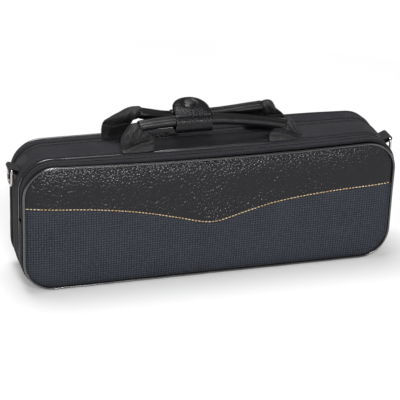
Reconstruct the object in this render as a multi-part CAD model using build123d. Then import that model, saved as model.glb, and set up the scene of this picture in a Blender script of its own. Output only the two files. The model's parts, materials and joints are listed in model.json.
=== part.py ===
from build123d import *
import os
from math import cos, radians, sin

# A soft case for a flute, with a zip round three sides, a fitted tray, a piped front
# pocket and two carrying handles held together by a snap-down wrap.
#
# Frame, in millimetres: the origin lies on the surface that the case stands on, under its
# middle. +X runs along the case, -Y faces the pocket side and +Z is up.
# "Inset" is how far an outline lies inside the case's outer outline, seen from the front.

# Case shell
CASE_LENGTH = 430.0  # over the side bands
CASE_DEPTH = 80.0  # front face to back face
CASE_HEIGHT = 150.0  # over the top and bottom bands
CORNER_RADIUS = 36.0  # of the outline seen from the front
LID_DEPTH = 20.0  # back shell, behind the main zip
POCKET_DEPTH = 22.0  # front pocket, in front of the piped seam
BAND_WALL = 4.0  # padded band of the main shell and the lid
POCKET_WALL = 3.0  # padded band of the pocket
PANEL_WALL = 3.0  # woven front panel with its foam
YOKE_WALL = 1.0  # leatherette sewn over the front panel
BACK_WALL = 4.0  # back panel with its foam
BOARD_WALL = 3.0  # stiff board between pocket and main compartment

# Piping
EDGE_PIPING_RADIUS = 2.0  # round the front and back panels
EDGE_PIPING_INSET = 1.0  # the bands stand this far outside the piping
EDGE_PIPING_GAP = 0.5  # crease between piping and band
SEAM_PIPING_RADIUS = 1.6  # thinner piping where the pocket joins the main shell
SEW_GAP = 0.1  # between pieces sewn edge to edge

# Front yoke: the wavy lower edge of the leatherette
YOKE_LEFT_HEIGHT = 99.5
YOKE_RIGHT_HEIGHT = 92.5
YOKE_SHOULDER_HEIGHT = 86.0
YOKE_SHOULDER_X = 97.0  # each side of the dip
YOKE_FLANK_HEIGHT = 72.5
YOKE_FLANK_X = 41.0  # each side of the dip
YOKE_DIP_X = 3.5
YOKE_DIP_HEIGHT = 63.0

# Pocket flap
FLAP_HINGE_HEIGHT = 83.0  # the pocket's zip ends here and the front folds open
FLAP_GAP = 0.6

# Zips
ZIP_OPENING = 11.0  # between the folded edges of the fabric
ZIP_SEAM_GAP = 1.4  # between the two rows of coil
COIL_WIDTH = 2.6
COIL_HEIGHT = 1.8
COIL_RECESS = 0.6  # crown of the coil below the face of the band
TAPE_WALL = 1.0
ZIP_END_HEIGHT = 10.0  # the main zip stops this far above the base
ZIP_END_GAP = 0.3
HINGE_WALL = 1.6  # fabric that joins the lid to the main shell along the base
HINGE_GAP = 1.0  # left open at the fold

# Sliders and pulls
SLIDER_LENGTH = 11.0
SLIDER_WIDTH = 9.0
SLIDER_PLATE = 1.3
SLIDER_CORNER = 2.0
SLIDER_TOP_CLEARANCE = 0.35
SLIDER_FLOOR_CLEARANCE = 0.5
SLIDER_FLANGE = 0.75
SLIDER_POST = 0.6  # web between the two plates, in the seam of the zip
SLIDER_POST_LENGTH = 4.0
BRIDGE_LENGTH = 7.0
BRIDGE_WIDTH = 2.4
BRIDGE_WALL = 1.0
BRIDGE_OPENING = 1.8
PULL_LENGTH = 14.0  # from its pivot
PULL_WIDTH = 6.0
PULL_WALL = 1.0
PULL_WINDOW = 4.4  # from its pivot to the end of its window
PULL_CLEARANCE = 0.4
PULL_PIVOT_OFFSET = 1.4  # from the middle of the slider
PULL_HOLE_RADIUS = 1.2
LEFT_SLIDER_X = -55.0
RIGHT_SLIDER_X = -42.0
POCKET_SLIDER_HEIGHT = 90.0

# Instrument tray
TRAY_CLEARANCE = 0.3  # all round, inside the band
TRAY_RIM_DROP = 3.0  # rim of the tray below the plane of the main zip
LINER_GAP = 1.1  # between a slider's inner plate and the tray or lid pad
TRAY_FLOOR = 6.0  # left under the channels
TRAY_END_WALL = 12.0  # between the head joint and the foot joint
BODY_JOINT_LENGTH = 356.0
BODY_JOINT_WIDTH = 36.0
HEAD_JOINT_LENGTH = 234.0
HEAD_JOINT_WIDTH = 28.0
LIP_PLATE_LENGTH = 44.0
LIP_PLATE_WIDTH = 36.0
LIP_PLATE_FROM_END = 40.0
FOOT_JOINT_LENGTH = 146.0
TOP_ROW_WIDTH = 36.0
ACCESSORY_LENGTH = 350.0
ACCESSORY_WIDTH = 26.0
ACCESSORY_CORNER = 8.0
FINGER_RADIUS = 12.0
FINGER_DEPTH = 16.0
FINGER_X = 96.0
PAD_GAP = 0.6  # between the plane of the main zip and the lid pad

# Strap rings and their tabs, on the upper corners of the middle band
TAB_ANGLE = 25.0  # up the corner arc from its side end
TAB_WIDTH = 18.6
TAB_Y = 4.0
TAB_LOOP_RADIUS = 3.2
TAB_REACH = 9.0  # from the band to the middle of the ring's bar
TAB_PATCH_WALL = 1.2
TAB_PATCH_ANGLE = 30.0
RING_WIRE_RADIUS = 1.5
RING_INNER_WIDTH = 20.0
RING_DROP = 19.5  # bar to the far side, wire centre to wire centre
RING_CORNER = 3.0
RING_BOW_RADIUS = 10.0
RING_CLEARANCE = 0.4

# Handles
GRIP_RADIUS = 6.5
HANDLE_BASE_GAP = 0.4  # between the case's top and the webbing
WEBBING_WALL = 3.2  # folded webbing, two layers
FRONT_WEB_STEM = 1.0  # the webbing stands straight up this far before it leans
REAR_WEB_STEM = 6.0  # clear of the sliders that pass beside it
WEBBING_CORNER = 1.0
WEB_FOLD_CORNER = 4.0  # where the webbing is folded round the grip's end
WEB_TOP_ROUND = 3.0
HANDLE_SEW_GAP = 0.3  # between webbing and grip

FRONT_GRIP_Y = -6.0
FRONT_LEFT_X = -77.0
FRONT_MIDDLE_X = -17.0
FRONT_RIGHT_X = 88.0
FRONT_LEFT_RISE = 24.5  # over the case's top
FRONT_MIDDLE_RISE = 26.9
FRONT_RIGHT_RISE = 12.5
FRONT_GRIP_LEFT = (FRONT_LEFT_X, CASE_HEIGHT + FRONT_LEFT_RISE)  # X, Z of the grip's ends and middle
FRONT_GRIP_MIDDLE = (FRONT_MIDDLE_X, CASE_HEIGHT + FRONT_MIDDLE_RISE)
FRONT_GRIP_RIGHT = (FRONT_RIGHT_X, CASE_HEIGHT + FRONT_RIGHT_RISE)
FRONT_WEB_LEFT_X = -82.5
FRONT_WEB_RIGHT_X = 87.0
FRONT_WEB_WIDTH = 36.0

REAR_GRIP_Y = 12.0
REAR_RISE = 24.6  # of its level middle over the case's top
REAR_LEFT_X = -72.0
REAR_RIGHT_X = 66.0
REAR_LEFT_LIFT = 6.9  # of its ends over its level middle
REAR_RIGHT_LIFT = 4.4
REAR_GRIP_HEIGHT = CASE_HEIGHT + REAR_RISE
REAR_GRIP_LEFT = (REAR_LEFT_X, REAR_GRIP_HEIGHT + REAR_LEFT_LIFT)
REAR_GRIP_RIGHT = (REAR_RIGHT_X, REAR_GRIP_HEIGHT + REAR_RIGHT_LIFT)
REAR_LEVEL_LEFT_X = -42.0
REAR_LEVEL_RIGHT_X = 10.0
REAR_LEFT_BEND = 120.0
REAR_RIGHT_BEND = 600.0
REAR_WEB_LEFT_X = -97.0
REAR_WEB_RIGHT_X = 86.0
REAR_WEB_WIDTH = 32.0
REAR_WEB_INSET = 12.0  # from the back face to the middle of the webbing

# Handle wrap
WRAP_LEFT_X = -38.0
WRAP_WIDTH = 41.0
WRAP_WALL = 1.6
WRAP_CLEARANCE = 0.7  # between the front grip and the band round it
WRAP_RISE = 26.5  # of the front grip's middle, inside the band, over the case's top
WRAP_SLING_DROP = 5.3  # from there to the centre of the band's lower bend
WRAP_REAR_DROP = 4.5  # from there to the band's free end between the grips
WRAP_HEIGHT = CASE_HEIGHT + WRAP_RISE
WRAP_SLING_HEIGHT = WRAP_HEIGHT - WRAP_SLING_DROP
WRAP_REAR_HEIGHT = WRAP_HEIGHT - WRAP_REAR_DROP
TONGUE_LENGTH = 30.0
TONGUE_GAP = 0.3
TONGUE_LIFT = 15.0  # degrees above its closed place
CUFF_WALL = 1.2
CUFF_CLEARANCE = 0.5
SNAP_RADIUS = 6.5
SNAP_WALL = 0.5
SNAP_CAP_RADIUS = 6.0
SNAP_CAP_HEIGHT = 0.9
SNAP_CAP_EDGE = 0.3
SNAP_X = -17.5

# Planes and insets that several pieces share
FRONT_Y = -CASE_DEPTH / 2
BACK_Y = CASE_DEPTH / 2
ZIP_Y = BACK_Y - LID_DEPTH
SEAM_Y = FRONT_Y + POCKET_DEPTH
PANEL_FRONT_Y = FRONT_Y + YOKE_WALL
PANEL_BACK_Y = PANEL_FRONT_Y + PANEL_WALL
BOARD_BACK_Y = SEAM_Y + BOARD_WALL
POCKET_BAND_FRONT_Y = FRONT_Y + 2 * EDGE_PIPING_RADIUS + EDGE_PIPING_GAP
POCKET_BAND_BACK_Y = SEAM_Y - SEAM_PIPING_RADIUS
POCKET_ZIP_Y = (POCKET_BAND_FRONT_Y + POCKET_BAND_BACK_Y) / 2
LID_BAND_BACK_Y = BACK_Y - 2 * EDGE_PIPING_RADIUS - EDGE_PIPING_GAP
LID_FACE_Y = BACK_Y - BACK_WALL
EDGE_PIPING_CENTRE = EDGE_PIPING_INSET + EDGE_PIPING_RADIUS
PANEL_INSET = EDGE_PIPING_CENTRE + EDGE_PIPING_RADIUS + SEW_GAP
TAPE_INSET = COIL_RECESS + COIL_HEIGHT
ZIP_FLOOR = TAPE_INSET + TAPE_WALL
SLIDER_FLOOR = ZIP_FLOOR + SLIDER_FLOOR_CLEARANCE
LINER_INSET = SLIDER_FLOOR + SLIDER_PLATE + LINER_GAP
TRAY_STEP_Y = ZIP_Y - ZIP_OPENING / 2
TRAY_RIM_Y = ZIP_Y - TRAY_RIM_DROP
CORNER_X = CASE_LENGTH / 2 - CORNER_RADIUS
CORNER_Z = CASE_HEIGHT - CORNER_RADIUS
HANDLE_BASE_Z = CASE_HEIGHT + HANDLE_BASE_GAP
REAR_WEB_Y = BACK_Y - REAR_WEB_INSET
BIG = 2 * CASE_LENGTH


def outline(inset, y):
    """Face of the case's rounded outline in the plane at y, facing +Y."""
    plane = Plane(origin=(0, y, CASE_HEIGHT / 2), x_dir=(1, 0, 0), z_dir=(0, 1, 0))
    length = CASE_LENGTH - 2 * inset
    height = CASE_HEIGHT - 2 * inset
    return plane * RectangleRounded(length, height, CORNER_RADIUS - inset)


def slab(inset, y_from, y_to):
    """Solid of the case's outline from one plane to another."""
    return extrude(outline(inset, y_from), y_to - y_from)


def band(inset, wall, y_from, y_to):
    """Wall that runs all round the case's outline, open to front and back."""
    return extrude(outline(inset, y_from) - outline(inset + wall, y_from), y_to - y_from)


def piping(inset, y, radius):
    """Round cord that runs all round the case, its centre at inset and y."""
    path = outline(inset, y).face().outer_wire()
    section = Plane(origin=path @ 0, z_dir=path % 0) * Circle(radius)
    return sweep(section, path=path)


def above(part, z):
    """What of a part lies over the plane at z."""
    return split(part, bisect_by=Plane((0, 0, z)), keep=Keep.TOP)


def below(part, z):
    """What of a part lies under the plane at z."""
    return split(part, bisect_by=Plane((0, 0, z)), keep=Keep.BOTTOM)


def between_x(part, x_from, x_to):
    """What of a part lies between two planes across X."""
    middle = Pos((x_from + x_to) / 2, 0, 0)
    return part & (middle * Box(x_to - x_from, BIG, BIG))


# Main shell


def body_band():
    """Padded band of the main compartment, from the piped seam to the main zip."""
    return band(0, BAND_WALL, SEAM_Y + SEAM_PIPING_RADIUS, ZIP_Y - ZIP_OPENING / 2)


def divider_board():
    """Stiff board that closes the main compartment towards the pocket."""
    return slab(BAND_WALL, SEAM_Y, BOARD_BACK_Y)


def seam_piping():
    """Piping in the seam between the pocket and the main compartment."""
    return piping(SEAM_PIPING_RADIUS, SEAM_Y, SEAM_PIPING_RADIUS)


def hinge_strip():
    """Fabric along the base and round its corners, up to the fold of the lid."""
    strip = band(0, HINGE_WALL, ZIP_Y - ZIP_OPENING / 2, ZIP_Y - HINGE_GAP / 2)
    return below(strip, ZIP_END_HEIGHT - ZIP_END_GAP)


# Zips: the two halves of each lie at side -1 and +1 of its seam


def zip_tape(seam_y, side, end_height):
    """Woven tape from the fabric's folded edge to the seam, on one side of it."""
    near, far = side * ZIP_SEAM_GAP / 2, side * ZIP_OPENING / 2
    low, high = sorted((seam_y + near, seam_y + far))
    return above(band(TAPE_INSET, TAPE_WALL, low, high), end_height)


def zip_coil(seam_y, side, end_height):
    """Row of coil on the tape's outer face, beside the seam."""
    near = side * ZIP_SEAM_GAP / 2
    far = near + side * COIL_WIDTH
    low, high = sorted((seam_y + near, seam_y + far))
    return above(band(COIL_RECESS, COIL_HEIGHT, low, high), end_height)


# Front pocket


def pocket_band():
    """Pocket's band: whole depth below the flap's fold, a strip behind the zip above it."""
    whole = band(0, POCKET_WALL, POCKET_BAND_FRONT_Y, POCKET_BAND_BACK_Y)
    strip = band(0, POCKET_WALL, POCKET_ZIP_Y + ZIP_OPENING / 2, POCKET_BAND_BACK_Y)
    low = below(whole, FLAP_HINGE_HEIGHT - FLAP_GAP / 2)
    high = above(strip, FLAP_HINGE_HEIGHT - FLAP_GAP / 2)
    return low + high


def flap_band():
    """Strip of band that opens with the flap, in front of the pocket's zip."""
    strip = band(0, POCKET_WALL, POCKET_BAND_FRONT_Y, POCKET_ZIP_Y - ZIP_OPENING / 2)
    return above(strip, FLAP_HINGE_HEIGHT + FLAP_GAP / 2)


def front_panel():
    """Woven front panel with its foam, in one piece."""
    return slab(PANEL_INSET, PANEL_FRONT_Y, PANEL_BACK_Y)


def yoke():
    """Leatherette over the top of the front panel, with its wavy lower edge."""
    side = CASE_LENGTH / 2
    wave = Spline(
        (-side, YOKE_LEFT_HEIGHT),
        (YOKE_DIP_X - YOKE_SHOULDER_X, YOKE_SHOULDER_HEIGHT),
        (YOKE_DIP_X - YOKE_FLANK_X, YOKE_FLANK_HEIGHT),
        (YOKE_DIP_X, YOKE_DIP_HEIGHT),
        (YOKE_DIP_X + YOKE_FLANK_X, YOKE_FLANK_HEIGHT),
        (YOKE_DIP_X + YOKE_SHOULDER_X, YOKE_SHOULDER_HEIGHT),
        (side, YOKE_RIGHT_HEIGHT),
    )
    rest = Polyline(
        (side, YOKE_RIGHT_HEIGHT),
        (side, CASE_HEIGHT),
        (-side, CASE_HEIGHT),
        (-side, YOKE_LEFT_HEIGHT),
    )
    front = Plane(origin=(0, PANEL_FRONT_Y, 0), x_dir=(1, 0, 0), z_dir=(0, -1, 0))
    cover = extrude(front * make_face([wave.edge(), *rest.edges()]), YOKE_WALL)
    return cover & slab(PANEL_INSET, FRONT_Y, PANEL_FRONT_Y)


def edge_piping(y):
    """Piping round the front or back panel."""
    return piping(EDGE_PIPING_CENTRE, y, EDGE_PIPING_RADIUS)


# Lid


def lid_band():
    """Padded band of the lid."""
    return band(0, BAND_WALL, ZIP_Y + ZIP_OPENING / 2, LID_BAND_BACK_Y)


def lid_pad():
    """Plush-covered foam pad that holds the instrument down."""
    return slab(LINER_INSET, ZIP_Y + PAD_GAP, LID_FACE_Y)


def back_panel():
    """Back panel with its foam."""
    return slab(PANEL_INSET, LID_FACE_Y, BACK_Y)


def lid_hinge_strip():
    """Lid's side of the fabric along the base."""
    strip = band(0, HINGE_WALL, ZIP_Y + HINGE_GAP / 2, ZIP_Y + ZIP_OPENING / 2)
    return below(strip, ZIP_END_HEIGHT - ZIP_END_GAP)


# Instrument tray


def channel(x_from, x_to, z, width):
    """Round-bottomed channel along X, cut into the tray from its rim."""
    floor_y = BOARD_BACK_Y + TRAY_FLOOR
    radius = width / 2
    plane = Plane(origin=(x_from, floor_y + radius, z), x_dir=(0, 1, 0), z_dir=(1, 0, 0))
    mouth = TRAY_RIM_Y - floor_y - radius + SEW_GAP
    profile = Circle(radius) + Pos(mouth / 2, 0) * Rectangle(mouth, width)
    return extrude(plane * profile, x_to - x_from)


def tray_rows():
    """Heights of the middles of the accessory, body joint and top rows."""
    room = CASE_HEIGHT - 2 * (BAND_WALL + TRAY_CLEARANCE)
    widths = (ACCESSORY_WIDTH, BODY_JOINT_WIDTH, TOP_ROW_WIDTH)
    gap = (room - sum(widths)) / (len(widths) + 1)
    rows = []
    z = BAND_WALL + TRAY_CLEARANCE
    for width in widths:
        z += gap
        rows.append(z + width / 2)
        z += width
    return rows


def accessory_bay(z):
    """Flat-bottomed bay for the cleaning rod and cloth."""
    floor_y = BOARD_BACK_Y + TRAY_FLOOR
    plane = Plane(origin=(0, floor_y, z), x_dir=(1, 0, 0), z_dir=(0, 1, 0))
    mouth = RectangleRounded(ACCESSORY_LENGTH, ACCESSORY_WIDTH, ACCESSORY_CORNER)
    return extrude(plane * mouth, TRAY_RIM_Y - floor_y + SEW_GAP)


def finger_scoops(z):
    """Round scoops between two rows, where fingers lift the joints out."""
    plane = Plane(origin=(0, TRAY_RIM_Y - FINGER_DEPTH, z), x_dir=(1, 0, 0), z_dir=(0, 1, 0))
    holes = Pos(-FINGER_X, 0) * Circle(FINGER_RADIUS) + Pos(FINGER_X, 0) * Circle(FINGER_RADIUS)
    return extrude(plane * holes, FINGER_DEPTH + SEW_GAP)


def instrument_tray():
    """Moulded foam tray with a place for each joint of the flute."""
    block = slab(BAND_WALL + TRAY_CLEARANCE, BOARD_BACK_Y, TRAY_STEP_Y)
    rim = slab(LINER_INSET, TRAY_STEP_Y, TRAY_RIM_Y)
    low_z, middle_z, top_z = tray_rows()
    top_length = HEAD_JOINT_LENGTH + TRAY_END_WALL + FOOT_JOINT_LENGTH
    left = -top_length / 2
    head_end = left + HEAD_JOINT_LENGTH
    lip = left + LIP_PLATE_FROM_END
    between_z = (middle_z + BODY_JOINT_WIDTH / 2 + top_z - TOP_ROW_WIDTH / 2) / 2
    return (
        block
        + rim
        - accessory_bay(low_z)
        - channel(-BODY_JOINT_LENGTH / 2, BODY_JOINT_LENGTH / 2, middle_z, BODY_JOINT_WIDTH)
        - channel(left, head_end, top_z, HEAD_JOINT_WIDTH)
        - channel(lip, lip + LIP_PLATE_LENGTH, top_z, LIP_PLATE_WIDTH)
        - channel(head_end + TRAY_END_WALL, -left, top_z, TOP_ROW_WIDTH)
        - finger_scoops(between_z)
    )


# Sliders, made with their travel along X, the zip's seam at Y = 0, the band's face at
# Z = 0 and the side that stays on the main shell towards -Y


def slider_body():
    """Two plates round the coil, joined by a thin post in the seam, with a bridge on top."""
    top_z = SLIDER_TOP_CLEARANCE - COIL_RECESS
    plate = extrude(RectangleRounded(SLIDER_LENGTH, SLIDER_WIDTH, SLIDER_CORNER), SLIDER_PLATE)
    floor = Pos(0, 0, -SLIDER_FLOOR - SLIDER_PLATE) * plate
    post_height = top_z + SLIDER_FLOOR
    post = Pos(0, 0, top_z - post_height / 2) * Box(SLIDER_POST_LENGTH, SLIDER_POST, post_height)
    flange_height = top_z + TAPE_INSET - PULL_CLEARANCE
    flange_y = -SLIDER_WIDTH / 2 + SLIDER_FLANGE / 2
    flange_length = SLIDER_LENGTH - 2 * SLIDER_CORNER
    flange = Pos(0, flange_y, top_z - flange_height / 2) * Box(
        flange_length, SLIDER_FLANGE, flange_height
    )
    return Pos(0, 0, top_z) * plate + floor + post + flange + Pos(0, 0, top_z) * bridge()


def bridge():
    """Arch over the top plate that the pull hangs in, its foot at Z = 0."""
    height = SLIDER_PLATE + BRIDGE_OPENING + BRIDGE_WALL
    arch = Pos(0, 0, height / 2) * Box(BRIDGE_LENGTH, BRIDGE_WIDTH, height)
    window = Pos(0, 0, SLIDER_PLATE + BRIDGE_OPENING / 2) * Box(
        BRIDGE_LENGTH - 2 * BRIDGE_WALL, BRIDGE_WIDTH, BRIDGE_OPENING
    )
    return fillet((arch - window).edges().filter_by(Axis.Y).group_by(Axis.Z)[-1], BRIDGE_WALL / 2)


def pull_tab():
    """Flat pull that lies along -X, its pivot bar under the bridge."""
    pivot_z = SLIDER_TOP_CLEARANCE - COIL_RECESS + SLIDER_PLATE + BRIDGE_OPENING / 2
    length = PULL_LENGTH + PULL_WALL / 2
    middle = Pos(-PULL_PIVOT_OFFSET + PULL_WALL / 2 - length / 2, 0)
    sheet = middle * RectangleRounded(length, PULL_WIDTH, PULL_WIDTH / 4)
    window_width = BRIDGE_WIDTH + 2 * PULL_CLEARANCE
    window_length = PULL_WINDOW - PULL_WALL / 2
    window = Pos(-PULL_PIVOT_OFFSET - PULL_WALL / 2 - window_length / 2, 0)
    hole = Pos(-PULL_PIVOT_OFFSET - PULL_LENGTH + 2 * PULL_HOLE_RADIUS, 0)
    face = sheet - window * Rectangle(window_length, window_width) - hole * Circle(PULL_HOLE_RADIUS)
    return Pos(0, 0, pivot_z - PULL_WALL / 2) * extrude(face, PULL_WALL)


def on_main_zip(part, x, facing):
    """Place a slider or pull on the main zip's top run; facing -1 turns it end for end."""
    turned = part if facing > 0 else mirror(part, about=Plane.YZ)
    return Pos(x, ZIP_Y, CASE_HEIGHT) * turned


def on_pocket_zip(part):
    """Place a slider or pull on the right-hand run of the pocket's zip."""
    place = Plane(
        origin=(CASE_LENGTH / 2, POCKET_ZIP_Y, POCKET_SLIDER_HEIGHT),
        x_dir=(0, 0, 1),
        z_dir=(1, 0, 0),
    )
    return place.location * part


# Strap rings


def ring_bar_place():
    """X and Z of the right-hand ring's bar."""
    reach = CORNER_RADIUS + TAB_REACH
    angle = radians(TAB_ANGLE)
    return CORNER_X + reach * cos(angle), CORNER_Z + reach * sin(angle)


def strap_tab():
    """Right-hand webbing loop with its sewn patch, on the corner of the middle band."""
    bar_x, bar_z = ring_bar_place()
    plane = Plane(origin=(CORNER_X, TAB_Y + TAB_WIDTH / 2, CORNER_Z), x_dir=(1, 0, 0), z_dir=(0, -1, 0))
    lug = Rot(0, 0, TAB_ANGLE) * (
        Pos(CORNER_RADIUS + TAB_REACH / 2, 0) * Rectangle(TAB_REACH, 2 * TAB_LOOP_RADIUS)
        + Pos(CORNER_RADIUS + TAB_REACH, 0) * Circle(TAB_LOOP_RADIUS)
    )
    sweep_angle = radians(TAB_ANGLE + TAB_PATCH_ANGLE)
    far = 2 * CORNER_RADIUS
    wedge = make_face(
        Polyline(
            (0, 0),
            (far * cos(radians(TAB_ANGLE)), far * sin(radians(TAB_ANGLE))),
            (far * cos(sweep_angle), far * sin(sweep_angle)),
            (0, 0),
        )
    )
    patch = (Circle(CORNER_RADIUS + TAB_PATCH_WALL) - Circle(CORNER_RADIUS)) & wedge
    eye = Pos(bar_x - CORNER_X, bar_z - CORNER_Z) * Circle(RING_WIRE_RADIUS + RING_CLEARANCE)
    return extrude(plane * (lug + patch - Circle(CORNER_RADIUS) - eye), TAB_WIDTH)


def strap_ring():
    """Right-hand D-ring, hanging from its bar."""
    bar_x, bar_z = ring_bar_place()
    half = RING_INNER_WIDTH / 2 + RING_WIRE_RADIUS
    plane = Plane(origin=(bar_x, TAB_Y, bar_z), x_dir=(0, 1, 0), z_dir=(1, 0, 0))
    corners = [(-half, 0), (half, 0), (half, -RING_DROP), (-half, -RING_DROP)]
    radii = [RING_CORNER, RING_CORNER, RING_BOW_RADIUS, RING_BOW_RADIUS]
    path = plane * FilletPolyline(*corners, radius=radii, close=True)
    section = Plane(origin=path @ 0, z_dir=path % 0) * Circle(RING_WIRE_RADIUS)
    return sweep(section, path=path.wire())


def left_hand(part):
    """The same piece on the left-hand end of the case."""
    return mirror(part, about=Plane.YZ)


# Handles


def grip(path, x_from, x_to):
    """Padded round grip along a path, cut square at both ends."""
    section = Plane(origin=path @ 0, z_dir=path % 0) * Circle(GRIP_RADIUS)
    return between_x(sweep(section, path=path), x_from, x_to)


def front_grip():
    """Grip of the front handle, a single long curve that drops to the right."""
    plane = Plane(origin=(0, FRONT_GRIP_Y, 0), x_dir=(1, 0, 0), z_dir=(0, -1, 0))
    curve = ThreePointArc(FRONT_GRIP_LEFT, FRONT_GRIP_MIDDLE, FRONT_GRIP_RIGHT)
    ends = GRIP_RADIUS
    start = curve @ 0 - (curve % 0) * ends
    finish = curve @ 1 + (curve % 1) * ends
    path = plane * Wire([Line(start, curve @ 0).edge(), curve.edge(), Line(curve @ 1, finish).edge()])
    return grip(path, FRONT_GRIP_LEFT[0], FRONT_GRIP_RIGHT[0])


def rear_grip():
    """Grip of the rear handle: level in the middle, rising to both ends."""
    plane = Plane(origin=(0, REAR_GRIP_Y, 0), x_dir=(1, 0, 0), z_dir=(0, -1, 0))
    left, right = Vector(*REAR_GRIP_LEFT), Vector(*REAR_GRIP_RIGHT)
    bend_left = Vector(REAR_LEVEL_LEFT_X, REAR_GRIP_HEIGHT)
    bend_right = Vector(REAR_LEVEL_RIGHT_X, REAR_GRIP_HEIGHT)
    start = left + (left - bend_left).normalized() * GRIP_RADIUS
    finish = right + (right - bend_right).normalized() * GRIP_RADIUS
    path = plane * FilletPolyline(
        start, bend_left, bend_right, finish, radius=[REAR_LEFT_BEND, REAR_RIGHT_BEND]
    )
    return grip(path.wire(), REAR_GRIP_LEFT[0], REAR_GRIP_RIGHT[0])


def handle_web(foot, width, stem_height, grip_end, side):
    """Webbing that rises from its foot on the case, leans over and folds round a grip's end."""
    size = 2 * GRIP_RADIUS
    fold_x = grip_end.X + side * (HANDLE_SEW_GAP + size / 2)
    fold_z = grip_end.Z - GRIP_RADIUS - HANDLE_SEW_GAP
    strip = Pos(foot) * RectangleRounded(width, WEBBING_WALL, WEBBING_CORNER)
    fold = Pos(fold_x, grip_end.Y, fold_z) * RectangleRounded(size, size, WEB_FOLD_CORNER)
    lean = loft([(Pos(0, 0, stem_height) * strip).face(), fold.face()])
    top = extrude(fold, size + HANDLE_SEW_GAP)
    top = fillet(top.edges().group_by(Axis.Z)[-1], WEB_TOP_ROUND)
    return extrude(strip, stem_height) + lean + top


def front_web(foot_x, end, side):
    """One end of the front handle, rooted in the piped seam."""
    foot = Vector(foot_x, SEAM_Y, HANDLE_BASE_Z)
    grip_end = Vector(end[0], FRONT_GRIP_Y, end[1])
    return handle_web(foot, FRONT_WEB_WIDTH, FRONT_WEB_STEM, grip_end, side)


def rear_web(foot_x, end, side):
    """One end of the rear handle, rooted on the lid's band."""
    foot = Vector(foot_x, REAR_WEB_Y, HANDLE_BASE_Z)
    grip_end = Vector(end[0], REAR_GRIP_Y, end[1])
    return handle_web(foot, REAR_WEB_WIDTH, REAR_WEB_STEM, grip_end, side)


# Handle wrap


def wrap_band():
    """Leatherette sling round the front grip, open behind the grip."""
    inner = GRIP_RADIUS + WRAP_CLEARANCE
    outer = inner + WRAP_WALL
    drop = WRAP_HEIGHT - WRAP_SLING_HEIGHT
    plane = Plane(origin=(WRAP_LEFT_X, FRONT_GRIP_Y, WRAP_SLING_HEIGHT), x_dir=(0, 1, 0), z_dir=(1, 0, 0))
    loop = capsule(outer, drop) - capsule(inner, drop)
    opening_height = outer + WRAP_HEIGHT - WRAP_REAR_HEIGHT
    opening = Pos(outer, WRAP_REAR_HEIGHT - WRAP_SLING_HEIGHT + opening_height / 2)
    profile = loop - opening * Rectangle(2 * outer, opening_height)
    return extrude(plane * profile, WRAP_WIDTH)


def capsule(radius, drop):
    """Two round ends joined by straight sides, the lower end at the origin."""
    sides = Pos(0, drop / 2) * Rectangle(2 * radius, drop)
    return Circle(radius) + sides + Pos(0, drop) * Circle(radius)


def tongue_hinge_z():
    """Height of the fold that the tongue turns on."""
    return WRAP_HEIGHT + GRIP_RADIUS + WRAP_CLEARANCE + WRAP_WALL


def lifted(part):
    """Turn a closed tongue piece up about its fold to where it rests."""
    fold = Pos(0, FRONT_GRIP_Y, tongue_hinge_z())
    return fold * Rot(TONGUE_LIFT, 0, 0) * fold.inverse() * part


def wrap_tongue():
    """Round-ended tongue that closes over both grips."""
    width = WRAP_WIDTH
    round_end = width / 2
    straight = TONGUE_LENGTH - round_end - TONGUE_GAP
    near_y = FRONT_GRIP_Y + TONGUE_GAP
    middle_x = WRAP_LEFT_X + width / 2
    sheet = Pos(middle_x, near_y + straight / 2) * Rectangle(width, straight)
    tip = Pos(middle_x, near_y + straight) * Circle(round_end)
    tip_half = tip & (Pos(middle_x, near_y + straight + round_end / 2) * Rectangle(width, round_end))
    return lifted(Pos(0, 0, tongue_hinge_z() - WRAP_WALL) * extrude(sheet + tip_half, WRAP_WALL))


def snap_cap():
    """Low domed cap of the snap, on top of the tongue."""
    ball_radius = (SNAP_CAP_RADIUS**2 + SNAP_CAP_HEIGHT**2) / (2 * SNAP_CAP_HEIGHT)
    ball = Pos(0, 0, SNAP_CAP_HEIGHT - ball_radius) * Sphere(ball_radius)
    drum = Pos(0, 0, SNAP_CAP_HEIGHT / 2) * Cylinder(SNAP_CAP_RADIUS, SNAP_CAP_HEIGHT)
    dome = Pos(0, 0, SNAP_CAP_EDGE) * (ball & drum)
    rim = Pos(0, 0, SNAP_CAP_EDGE / 2) * Cylinder(SNAP_CAP_RADIUS, SNAP_CAP_EDGE)
    return lifted(Pos(SNAP_X, REAR_GRIP_Y, tongue_hinge_z()) * (dome + rim))


def rear_cuff():
    """Leatherette cuff round the rear grip, under the tongue."""
    inner = GRIP_RADIUS + CUFF_CLEARANCE
    plane = Plane(origin=(WRAP_LEFT_X, REAR_GRIP_Y, REAR_GRIP_HEIGHT), x_dir=(0, 1, 0), z_dir=(1, 0, 0))
    return extrude(plane * (Circle(inner + CUFF_WALL) - Circle(inner)), WRAP_WIDTH)


def snap_stud():
    """Disc of the snap on top of the cuff."""
    outer = GRIP_RADIUS + CUFF_CLEARANCE + CUFF_WALL
    top_z = REAR_GRIP_HEIGHT + outer + SNAP_WALL
    height = CUFF_WALL + SNAP_WALL
    disc = Pos(SNAP_X, REAR_GRIP_Y, top_z - height / 2) * Cylinder(SNAP_RADIUS, height)
    plane = Plane(origin=(WRAP_LEFT_X, REAR_GRIP_Y, REAR_GRIP_HEIGHT), x_dir=(0, 1, 0), z_dir=(1, 0, 0))
    return disc - extrude(plane * Circle(outer), WRAP_WIDTH)


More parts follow.
